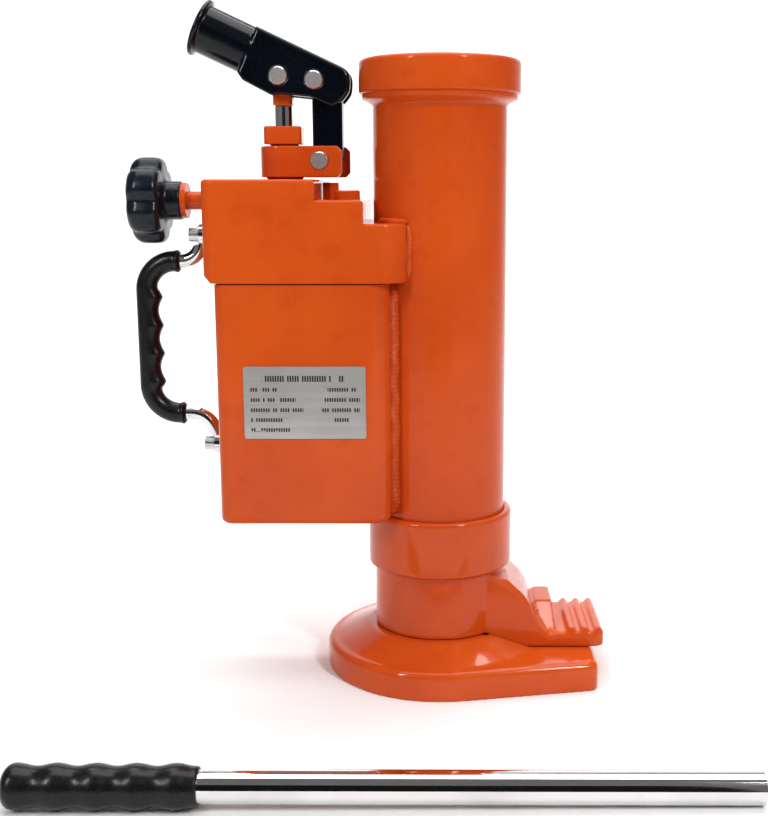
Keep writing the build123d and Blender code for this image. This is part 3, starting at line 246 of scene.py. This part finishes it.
# A black card stands behind the camera, so that the chrome has something dark
# to show. It is a bent sheet: depth = card_bow * (1 - (x / half width)^2).
card_half_width, card_height, card_place, card_bow = 0.50, 0.95, -1.35, 0.08
card_x = np.linspace(-card_half_width, card_half_width, 9)[:, None]
card_z = np.array([0.0, card_height])[None, :]
card_y = card_place - card_bow * (1 - (card_x / card_half_width) ** 2)
card = surface("black_card", np.stack(np.broadcast_arrays(card_x, card_y, card_z), -1))
card.visible_camera = False
card_finish = Finish("black_card_paper")
card_grain = card_finish.noise(200.0)
card_tone = card_finish.blend(card_grain, (0.006, 0.006, 0.006, 1.0), (0.012, 0.012, 0.012, 1.0))
card_finish.set(Base_Color=card_tone, Roughness=1.0, Specular_IOR_Level=0.0)
card.data.materials.append(card_finish.material)


# ============================================================ orange castings
# The base plate, the claw body, the pump barrel with its gland nut and the
# plunger's head are cast or forged, so their edges are soft. All are sprayed
# with the same thick orange gloss enamel, which pools and shows orange peel.
def enamel(name, peel, wave, spots=0.10, coat=0.18):
    """Orange enamel; peel and wave scale its fine and its slow unevenness."""
    made = Finish(name)
    cloud = made.noise(11.0, 3.0, 0.55)
    blotch = made.noise(60.0, 4.0, 0.6)
    dust = made.noise(1100.0, 1.0, 0.5)
    thick, thin = (0.640, 0.086, 0.0105, 1.0), (0.560, 0.065, 0.0080, 1.0)
    tone = made.blend(made.span(cloud, 0.35, 0.65), thin, thick)
    tone = made.blend(made.span(blotch, 0.55, 0.80, 0.0, 0.45), tone, (0.470, 0.043, 0.0040, 1.0))
    tone = made.blend(made.span(dust, 0.70, 0.78, 0.0, spots), tone, (0.80, 0.33, 0.16, 1.0))
    skin = made.noise(330.0, 2.0, 0.5)
    slow = made.noise(48.0, 1.0, 0.4)
    height = skin * (0.000022 * peel) + slow * (0.00022 * wave)
    gloss = made.span(blotch, 0.25, 0.75, 0.11, 0.19)
    made.set(Base_Color=tone, Roughness=gloss, Specular_IOR_Level=0.12)
    made.set(Coat_Weight=coat, Coat_Roughness=0.03, Normal=made.relief(height))
    return made


def soften(name, voxel, rounds):
    """Rounds a casting's edges: its mesh is joined, remade in voxels and smoothed."""
    piece = nodes[name]
    weld = piece.modifiers.new("join", "WELD")
    weld.merge_threshold = 0.00001
    remesh = piece.modifiers.new("cast", "REMESH")
    remesh.mode = "VOXEL"
    remesh.voxel_size = voxel
    remesh.use_smooth_shade = True
    smooth = piece.modifiers.new("fettle", "SMOOTH")
    smooth.factor = 0.5
    smooth.iterations = rounds


cast_enamel = enamel("orange_enamel_on_castings", 1.3, 1.9, coat=0.32)
dress(cast_enamel, "base_plate", "claw_body", "pump_barrel", "gland_nut", "plunger_head")
soften("base_plate", 0.00115, 6)
soften("claw_body", 0.00105, 5)
soften("pump_barrel", 0.0006, 4)
soften("gland_nut", 0.0006, 4)
soften("plunger_head", 0.0006, 4)

# ============================================================= orange shells
# The cylinder tube and the head cap are turned, the tank is folded and welded
# plate and the pump block is milled: smoother under the same enamel. Plugs,
# the safety screw and the release spindle were sprayed along with them.
sheet_enamel = enamel("orange_enamel_on_plate", 1.0, 0.8)
turned_enamel = enamel("orange_enamel_on_turned_steel", 1.0, 0.55)
dress(sheet_enamel, "oil_tank", "pump_block", "filler_plug", "delivery_plug", "safety_screw")
dress(turned_enamel, "cylinder_tube", "head_cap", "release_spindle")

# =============================================================== weld beads
# Stick welds join the tank and the block to the cylinder tube. A bead is a
# pile of small overlapping scales, so its radius rises and drops at each one.
scale_pitch = 0.0030
weld_enamel = enamel("orange_enamel_on_welds", 2.2, 2.6, 0.2)


def weld_bead(name, path, radius, seed):
    """A bead along path: radius * (0.86 + 0.17 * scale wave + noise), narrow at its ends.

    The section is a circle square to the path. The scale wave is the root of
    the broken part of length / pitch, and it leans a little to one side. Five
    random sines make the bead uneven.
    """
    chance = np.random.default_rng(seed)
    step = np.gradient(path, axis=0)
    step /= np.linalg.norm(step, axis=1)[:, None]
    length = np.concatenate([[0.0], np.cumsum(np.linalg.norm(np.diff(path, axis=0), axis=1))])
    sides = np.linspace(0.0, 2 * pi, 20, endpoint=False)
    lean = 0.12 * np.cos(sides)[None, :]
    scale = (length[:, None] / scale_pitch + lean) % 1.0
    waves = chance.uniform(0.5, 2.5, 5)[None, None, :] * length[:, None, None] * 160.0
    turns = chance.integers(0, 3, 5)[None, None, :] * sides[None, :, None]
    uneven = np.sin(waves + turns + chance.uniform(0.0, 6.0, 5)).sum(-1) * 0.045
    to_end = np.minimum(length, length[-1] - length)
    taper = np.sqrt(np.clip(to_end / (1.6 * radius), 0.02, 1.0))
    size = radius * taper[:, None] * (0.86 + 0.17 * np.sqrt(scale) + uneven)
    aside = np.cross(step, np.where(np.abs(step[:, 2:]) > 0.7, [1.0, 0.0, 0.0], [0.0, 0.0, 1.0]))
    aside /= np.linalg.norm(aside, axis=1)[:, None]
    up = np.cross(step, aside)
    spread = np.cos(sides)[None, :, None] * aside[:, None] + np.sin(sides)[None, :, None] * up[:, None]
    points = path[:, None] + size[..., None] * spread
    bead = surface(name, points, around=True, start=path[0], end=path[-1])
    bead.data.materials.append(weld_enamel.material)
    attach(bead, "lift_body")


tank_low, tank_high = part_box("oil_tank")
block_low, block_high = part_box("pump_block")
tube_r = 0.0453
bracket_top = block_low[2] + 0.038
bracket_from, bracket_to = radians(117.0), radians(151.0)
tank_bead_r, block_bead_r, bracket_bead_r = 0.0056, 0.0030, 0.0024
steps_up, steps_round = 420, 160
bead_sink = 0.001
for side, word in ((-1, "near"), (1, "far")):
    for place, edge_x, low, high, radius, seed in (
        ("tank", tank_high[0], tank_low[2] + 0.002, tank_high[2], tank_bead_r, 3),
        ("block", block_high[0], block_low[2] + 0.002, bracket_top - 0.001, block_bead_r, 5),
    ):
        edge_y = np.sqrt(tube_r**2 - edge_x**2)
        outward = np.array([1.0 + edge_x / tube_r, side * edge_y / tube_r])
        stand_off = 0.5 * (radius - bead_sink) * outward / np.linalg.norm(outward)
        centre = np.array([edge_x, side * edge_y]) + stand_off
        heights = np.linspace(low, high, steps_up)
        path = np.stack(np.broadcast_arrays(centre[0], centre[1], heights), -1)
        weld_bead(f"{place}_weld_{word}", path, radius, seed + side)
    turn = side * np.linspace(bracket_from, bracket_to, steps_round)
    reach = tube_r + 0.0010
    height = np.full(steps_round, bracket_top + 0.0006)
    path = np.stack([reach * np.cos(turn), reach * np.sin(turn), height], -1)
    weld_bead(f"bracket_weld_{word}", path, bracket_bead_r, 11 + side)

# ============================================================= release knob
# Moulded knob of the release valve: six shallow lobes round a domed disc and
# a plain hub that is seated on the spindle's flange.
knob_low, knob_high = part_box("release_knob")
knob_z = (knob_low[2] + knob_high[2]) / 2
knob_face = knob_low[0]
dome_r, rim_r = 0.0085, 0.0046
bend_front = np.linspace(pi / 2, 0.0, 14)
bend_back = np.linspace(0.0, pi / 2, 9)
knob_profile = np.vstack(
    [
        [[0.0016, 0.003], [0.0016, 0.009], [0.0013, 0.0103], [0.0003, 0.0108], [0.0001, 0.0118]],
        [[0.0001, 0.0160], [0.0003, 0.0190]],
        np.stack([0.0088 - dome_r * np.sin(bend_front), 0.0204 + dome_r * np.cos(bend_front)], -1),
        [[0.0125, 0.0290], [0.0165, 0.0289]],
        np.stack([0.0178 + rim_r * np.sin(bend_back), 0.0241 + rim_r * np.cos(bend_back)], -1),
        [[0.0226, 0.0205], [0.0227, 0.0165], [0.0230, 0.0150], [0.0240, 0.0136], [0.0255, 0.0131]],
        [[0.0300, 0.0130], [0.0330, 0.0130], [0.0338, 0.0126], [0.0340, 0.0119], [0.0340, 0.0060]],
    ]
)


def turned(name, profile, seam_x, centre_y, centre_z, lobes=0, depth=0.0, lobe_from=1.0, lobe_to=2.0):
    """Profile of (x, radius) turned round the X axis, with lobes cut into its rim.

    Radius loses depth * ((1 + cos(lobes * angle)) / 2)^3, more and more from
    radius lobe_from up to radius lobe_to.
    """
    angle = np.linspace(0.0, 2 * pi, 192 if lobes else 96, endpoint=False)[None, :]
    along, radius = profile[:, :1], profile[:, 1:]
    share = np.clip((radius - lobe_from) / (lobe_to - lobe_from), 0.0, 1.0)
    cut = depth * share * share * (3 - 2 * share) * (0.5 + 0.5 * np.cos(lobes * angle)) ** 3
    reach = radius - cut if lobes else np.broadcast_to(radius, (len(profile), angle.size))
    points = np.stack(
        [
            np.broadcast_to(seam_x + along, reach.shape),
            centre_y - reach * np.cos(angle),
            centre_z + reach * np.sin(angle),
        ],
        -1,
    )
    first = (seam_x + profile[0, 0], centre_y, centre_z)
    last = (seam_x + profile[-1, 0], centre_y, centre_z)
    return surface(name, points[:, ::-1], around=True, start=first, end=last)


def black_moulding(name, tone, low, high, grain, waviness):
    """Glossy black plastic: tone, roughness from low to high, and a faint skin."""
    made = Finish(name)
    flow = made.noise(26.0, 3.0, 0.5)
    scuff = made.noise(240.0, 5.0, 0.65, (1.0, 1.0, 0.35))
    dust = made.noise(1500.0, 1.0)
    shade = made.blend(flow, tone, [1.9 * value + 0.002 for value in tone[:3]] + [1.0])
    shade = made.blend(made.span(dust, 0.72, 0.80, 0.0, 0.25), shade, (0.16, 0.16, 0.165, 1.0))
    height = made.noise(grain, 2.0) * 0.000012 + flow * waviness
    made.set(Base_Color=shade, Roughness=made.span(scuff, 0.3, 0.8, low, high))
    made.set(Specular_IOR_Level=0.28, Normal=made.relief(height))
    return made


knob_plastic = black_moulding("knob_plastic", (0.0020, 0.0048, 0.0085, 1.0), 0.16, 0.34, 700.0, 0.00012)
knob_lobes = {"lobes": 6, "depth": 0.0036, "lobe_from": 0.013, "lobe_to": 0.0285}
knob = turned("lobed_knob", knob_profile, knob_face, 0.0, knob_z, **knob_lobes)
knob.data.materials.append(knob_plastic.material)
dress(knob_plastic, "release_knob")
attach(knob, "release_knob")
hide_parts("release_knob")

# ============================================================== carry handle
# A chromed rod bent to a bow, bolted to the block and to the tank, with a
# moulded black grip whose inner side has a groove for each finger.
sleeve_low, sleeve_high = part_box("handle_grip")
sleeve_r = (sleeve_high[1] - sleeve_low[1]) / 2
bow_x, sleeve_end = sleeve_low[0] + sleeve_r, sleeve_high[0]
bow_low, bow_high = sleeve_low[2] + sleeve_r, sleeve_high[2] - sleeve_r
bow_r = 0.020
crest_low, crest_pitch, crest_count = bow_low + 0.0225, 0.0196, 4
crest_high = crest_low + crest_pitch * (crest_count - 1)
sleeve_mouth_r, grip_r, crest_rise = 0.0053, 0.0071, 0.0034


def bow_point(length):
    """Place and inward direction on the bow at a length from the upper sleeve end.

    The line goes back along -X, turns down through a quarter circle of bow_r,
    runs down, and comes forward through a second quarter circle.
    """
    run = sleeve_end - bow_x - bow_r
    arc = bow_r * pi / 2
    drop = bow_high - bow_low - 2 * bow_r
    marks = np.array([run, run + arc, run + arc + drop, run + 2 * arc + drop])
    turn = np.clip(length - marks[0], 0.0, arc) / bow_r + np.clip(length - marks[2], 0.0, arc) / bow_r
    step = np.diff(length, prepend=0.0)
    x = sleeve_end + np.cumsum(-np.cos(turn) * step)
    z = bow_high + np.cumsum(-np.sin(turn) * step)
    inward = np.stack([np.sin(turn), 0 * turn, -np.cos(turn)], -1)
    return np.stack([x, np.zeros_like(x), z], -1), inward


sleeve_length = 2 * (sleeve_end - bow_x - bow_r) + pi * bow_r + bow_high - bow_low - 2 * bow_r
along_bow = np.linspace(0.0, sleeve_length, 420)
bow, inward = bow_point(along_bow)
round_angle = np.linspace(0.0, 2 * pi, 56, endpoint=False)
height = bow[:, 2]
groove = np.abs(np.sin(pi * (height - crest_low) / crest_pitch))
fade_margin, fade_length = 0.012, 0.008
fade_in = np.clip((height - crest_low + fade_margin) / fade_length, 0, 1)
fade = fade_in * np.clip((crest_high + fade_margin - height) / fade_length, 0, 1)
rise = crest_rise * fade * (1.0 - np.sqrt(groove**2 + 0.012)) + 0.0006 * fade
to_end = np.minimum(along_bow, sleeve_length - along_bow)
end_round = np.sqrt(np.clip(to_end / 0.0016, 0.0, 1.0))
collar = 0.0007 * np.exp(-((to_end - 0.0022) / 0.0016) ** 2)
sleeve_size = (sleeve_mouth_r + (grip_r - sleeve_mouth_r) * end_round + collar)[:, None]
sleeve_size = sleeve_size + rise[:, None] * np.clip(np.cos(round_angle), 0.0, 1.0)[None, :] ** 1.5
side_way = np.array([0.0, 1.0, 0.0])
inward_part = np.cos(round_angle)[None, :, None] * inward[:, None]
side_part = np.sin(round_angle)[None, :, None] * side_way
sleeve_points = (bow[:, None] + sleeve_size[..., None] * (inward_part + side_part))[:, ::-1]
sleeve = surface("finger_grip", sleeve_points, around=True, start=bow[0], end=bow[-1])
grip_plastic = black_moulding("grip_plastic", (0.0035, 0.0035, 0.0040, 1.0), 0.20, 0.40, 520.0, 0.00010)
sleeve.data.materials.append(grip_plastic.material)
dress(grip_plastic, "handle_grip")
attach(sleeve, "lift_body")
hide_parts("handle_grip")


def plate_finish(name, tone, low, high, stretch, fine=420.0):
    """Bright metal whose polish runs in streaks along the squeezed axis."""
    made = Finish(name)
    streak = made.noise(fine, 4.0, 0.6, stretch)
    haze = made.noise(34.0, 3.0, 0.55)
    pit = made.noise(1300.0, 1.0)
    dull = [0.72 * value for value in tone[:3]] + [1.0]
    shade = made.blend(made.span(haze, 0.35, 0.75, 0.0, 0.5), tone, dull)
    shade = made.blend(made.span(pit, 0.74, 0.80, 0.0, 0.35), shade, (0.22, 0.20, 0.18, 1.0))
    rough = made.span(streak, 0.3, 0.75, low, high) + made.span(haze, 0.4, 0.8, 0.0, 0.05)
    made.set(Base_Color=shade, Metallic=1.0, Roughness=rough)
    made.set(Normal=made.relief(streak * 0.0000015 + haze * 0.00002))
    return made


handle_chrome = plate_finish("handle_chrome", (0.80, 0.80, 0.80, 1.0), 0.05, 0.13, (1.0, 1.0, 1.0))
bolt_zinc = plate_finish("bolt_zinc", (0.66, 0.67, 0.66, 1.0), 0.18, 0.34, (0.2, 1.0, 1.0))
dress(handle_chrome, "carry_handle")
dress(bolt_zinc, "handle_bolts", "handle_washers")

# ============================================================== pumping bar
# A chromed tube with a moulded grip of five swellings, pushed over its end.
# It lies on the floor and dips from the grip's last swelling to its own end.
bar_mount = next(mount for mount in frame["record"]["mounts"] if mount["name"] == "bar_end")
bar_tip = np.array(bar_mount["pos_m"])
bar_way = np.array(bar_mount["axis"]) / np.linalg.norm(bar_mount["axis"])
grip_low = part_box("bar_grip")[0]
bar_length = (bar_tip[0] - grip_low[0]) / bar_way[0]
grip_length = 0.108
crest_first, crest_step = 0.0076, 0.0219
lobe_r, neck_r, mouth_r = 0.01265, 0.01105, 0.0098
dome = np.linspace(0.03, pi / 2, 16)
run = np.linspace(crest_first, grip_length - 0.0012, 110)
wave = 0.5 + 0.5 * np.cos(2 * pi * (run - crest_first) / crest_step)
lobe = neck_r + (lobe_r - neck_r) * wave
grip_end = [
    [grip_length - 0.0004, lobe[-1] - 0.0004],
    [grip_length, lobe[-1] - 0.0012],
    [grip_length, mouth_r],
]
grip_profile = np.vstack(
    [
        np.stack([crest_first * (1 - np.cos(dome) ** 0.9), lobe_r * np.sin(dome) ** 0.75], -1)[:-1],
        np.stack([run, lobe], -1),
        grip_end,
    ]
)
bar_sleeve = turned("lobed_bar_grip", grip_profile, 0.0, 0.0, 0.0)
spots = np.empty(len(bar_sleeve.data.vertices) * 3)
bar_sleeve.data.vertices.foreach_get("co", spots)
spots = spots.reshape(-1, 3)
bar_start = bar_tip - bar_length * bar_way
bar_up = np.array([-bar_way[2], 0.0, bar_way[0]])
spots = bar_start + spots[:, :1] * bar_way + spots[:, 1:2] * side_way + spots[:, 2:] * bar_up
bar_sleeve.data.vertices.foreach_set("co", spots.ravel())
bar_sleeve.data.update()
bar_sleeve.data.materials.append(grip_plastic.material)
dress(grip_plastic, "bar_grip")
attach(bar_sleeve, "pump_bar")
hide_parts("bar_grip")
bar_chrome = plate_finish("bar_chrome", (0.78, 0.76, 0.755, 1.0), 0.035, 0.10, (0.04, 1.0, 1.0), 700.0)
dress(bar_chrome, "bar_tube")

# ============================================================ lever and link
# The pump lever and the link are forged, fettled and dipped in black enamel,
# which is glossy, a little blue, and thin along the edges.
black_enamel = Finish("black_enamel")
dip = black_enamel.noise(30.0, 3.0, 0.55)
grit = black_enamel.noise(1300.0, 1.0)
black_tone = black_enamel.blend(dip, (0.0010, 0.0016, 0.0035, 1.0), (0.0030, 0.0042, 0.0078, 1.0))
speck = black_enamel.span(grit, 0.71, 0.80, 0.0, 0.3)
black_tone = black_enamel.blend(speck, black_tone, (0.11, 0.115, 0.13, 1.0))
black_skin = black_enamel.noise(380.0, 2.0) * 0.000026 + black_enamel.noise(60.0, 1.0) * 0.00022
black_enamel.set(Base_Color=black_tone, Roughness=black_enamel.span(dip, 0.3, 0.7, 0.13, 0.24))
black_enamel.set(Specular_IOR_Level=0.22, Coat_Weight=0.15, Coat_Roughness=0.05)
black_enamel.set(Normal=black_enamel.relief(black_skin))
dress(black_enamel, "pump_lever", "link")
soften("pump_lever", 0.0007, 4)
soften("link", 0.0006, 4)

# ===================================================================== pins
# Ground steel pins, bright and unpainted. Each end is faced on the lathe, so
# fine rings lie round its axis, and its chamfer is polished smoother; the
# chamfer ring's lighter colour is a painted highlight.
tool_rings = 26000.0
for pin_name in ("plunger_pin", "lever_pin", "link_pin"):
    pin_low, pin_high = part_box(pin_name)
    pin_finish = Finish(f"{pin_name}_steel")
    reach_x = pin_finish.axis("X") - (pin_low[0] + pin_high[0]) / 2
    reach_z = pin_finish.axis("Z") - (pin_low[2] + pin_high[2]) / 2
    reach = (reach_x * reach_x + reach_z * reach_z) ** 0.5
    tool = (reach * tool_rings).work("SINE", reach * tool_rings)
    stain = pin_finish.noise(420.0, 5.0, 0.6)
    dulled = pin_finish.span(stain, 0.35, 0.75)
    steel = pin_finish.blend(dulled, (0.46, 0.455, 0.44, 1.0), (0.33, 0.32, 0.305, 1.0))
    # Painted highlight: the chamfer ring, 5.0 to 5.3 mm from the axis, is coloured near white.
    steel = pin_finish.blend(pin_finish.span(reach, 0.0050, 0.0053), steel, (0.85, 0.85, 0.85, 1.0))
    pin_finish.set(Base_Color=steel, Metallic=pin_finish.span(stain, 0.3, 0.9, 0.95, 0.80))
    pin_finish.set(Roughness=pin_finish.span(reach, 0.0050, 0.0053, 0.42, 0.16) + stain * 0.08)
    pin_finish.set(Normal=pin_finish.relief(tool * 0.0000022))
    dress(pin_finish, pin_name)

# =============================================================== data plate
# Thin brushed aluminium plate stuck on the tank. Its print is plain black
# dashes: one heading, four rows in two columns and a last row in one.
label_low, label_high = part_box("data_plate")
label_x, label_z = (label_low[0] + label_high[0]) / 2, (label_low[2] + label_high[2]) / 2
label = Finish("brushed_aluminium_plate")
brush = label.noise(260.0, 5.0, 0.65, (0.05, 1.0, 1.0))
smear = label.noise(16.0, 2.0)
metal = label.blend(label.span(smear, 0.35, 0.7), (0.46, 0.44, 0.42, 1.0), (0.60, 0.585, 0.57, 1.0))
metal = label.blend(label.span(brush, 0.35, 0.75, 0.0, 0.5), metal, (0.34, 0.33, 0.32, 1.0))
print_x, print_z = label.axis("X") - label_x, label.axis("Z") - label_z
dashes_per_metre, rows_per_metre = 620.0, 160.0
spot = label.node("CombineXYZ", None, {0: print_x, 1: print_z})
grid = {0: spot, 1: (dashes_per_metre, rows_per_metre, 0.0)}
cell = label.node("VectorMath", {"operation": "MULTIPLY"}, grid)
cell = label.node("VectorMath", {"operation": "FLOOR"}, {0: cell})
chance = label.node("TexWhiteNoise", {"noise_dimensions": "2D"}, {"Vector": cell})
dash = (print_x * dashes_per_metre).work("FRACT", print_x * dashes_per_metre)
broken = (dash < 0.70) * (chance > 0.16)
heading_thick, row_thick = 0.0040, 0.0025
ink = 0.0
for row_z, left, right, thick in (
    (0.0160, -0.0280, 0.0260, heading_thick),
    (0.0088, -0.0360, -0.0180, row_thick),
    (0.0088, 0.0150, 0.0340, row_thick),
    (0.0020, -0.0360, -0.0060, row_thick),
    (0.0020, 0.0130, 0.0360, row_thick),
    (-0.0048, -0.0360, -0.0010, row_thick),
    (-0.0048, 0.0110, 0.0360, row_thick),
    (-0.0114, -0.0360, -0.0150, row_thick),
    (-0.0114, 0.0190, 0.0290, row_thick),
    (-0.0180, -0.0360, -0.0080, row_thick),
):
    in_row = (print_z - row_z).work("ABSOLUTE", print_z - row_z) < thick / 2
    ink = in_row * (print_x > left) * (print_x < right) + ink
ink = ink * broken
metal = label.blend(ink, metal, (0.020, 0.019, 0.018, 1.0))
label.set(Base_Color=metal, Metallic=0.85 - ink * 0.8, Roughness=label.span(brush, 0.3, 0.7, 0.30, 0.44))
label.set(Normal=label.relief(brush * 0.0000030 + ink * 0.000012))
dress(label, "data_plate")

# ================================================================ bare steel
# The ram and the plunger are ground and hard chromed; what turns or slides
# on them inside is turned steel, and the valve balls are polished.
ram_chrome = plate_finish("hard_chrome", (0.74, 0.75, 0.76, 1.0), 0.08, 0.20, (1.0, 1.0, 0.05), 900.0)
turned_steel = plate_finish("turned_steel", (0.50, 0.49, 0.47, 1.0), 0.22, 0.42, (1.0, 1.0, 8.0), 260.0)
ball_steel = plate_finish("polished_ball_steel", (0.72, 0.72, 0.73, 1.0), 0.04, 0.09, (1.0, 1.0, 1.0))
dress(ram_chrome, "ram", "plunger_rod")
dress(turned_steel, "piston", "piston_nut", "suction_pipe", "suction_strainer", "knob_insert")
dress(turned_steel, "delivery_spring", "safety_spring")
dress(ball_steel, "suction_ball", "delivery_ball", "safety_ball", "release_ball")

# ============================================================ screws and clips
# Socket screws, taper plugs and circlips are blacked in hot oil: dark, dull
# and a little brown where the tool has touched them.
black_oxide = Finish("black_oxide")
rub = black_oxide.noise(300.0, 5.0, 0.65)
worn = black_oxide.span(rub, 0.5, 0.8)
oxide = black_oxide.blend(worn, (0.018, 0.017, 0.017, 1.0), (0.075, 0.066, 0.058, 1.0))
black_oxide.set(Base_Color=oxide, Metallic=0.85, Roughness=black_oxide.span(rub, 0.3, 0.8, 0.50, 0.32))
black_oxide.set(Normal=black_oxide.relief(rub * 0.000012))
dress(black_oxide, "tank_screws", "ram_screw", "gallery_plugs", "lever_circlips", "link_circlip")

# ============================================================ bushes and seals
# Bronze bushes guide the ram and the spindle; the seals are black rubber, the
# piston's guide ring is acetal and the tank's joint is fibre, painted over.
bronze = plate_finish("turned_bronze", (0.56, 0.36, 0.15, 1.0), 0.24, 0.40, (1.0, 1.0, 10.0), 240.0)
dress(bronze, "gland_bush", "release_bush")


def dull(name, dark, light, rough, grain, depth):
    """A dull moulded or pressed stuff, mottled from dark to light."""
    made = Finish(name)
    mottle = made.noise(grain, 5.0, 0.65)
    fine = made.noise(grain * 4.0, 2.0)
    tone = made.blend(mottle, dark, light)
    made.set(Base_Color=tone, Roughness=made.span(fine, 0.3, 0.7, rough, rough + 0.15))
    return made.set(Normal=made.relief(mottle * depth + fine * depth * 0.3))


rubber = dull("seal_rubber", (0.010, 0.010, 0.010, 1.0), (0.026, 0.025, 0.025, 1.0), 0.50, 220.0, 0.00003)
acetal = dull("acetal", (0.66, 0.63, 0.54, 1.0), (0.74, 0.72, 0.64, 1.0), 0.35, 160.0, 0.00001)
fibre_dark, fibre_light = (0.16, 0.022, 0.005, 1.0), (0.30, 0.040, 0.009, 1.0)
fibre_joint = dull("painted_joint", fibre_dark, fibre_light, 0.40, 300.0, 0.00005)
dress(rubber, "piston_seal", "gland_seal", "ram_wiper", "head_seal", "spindle_seal", "pump_packing")
dress(acetal, "piston_guide_ring")
dress(fibre_joint, "tank_gasket")
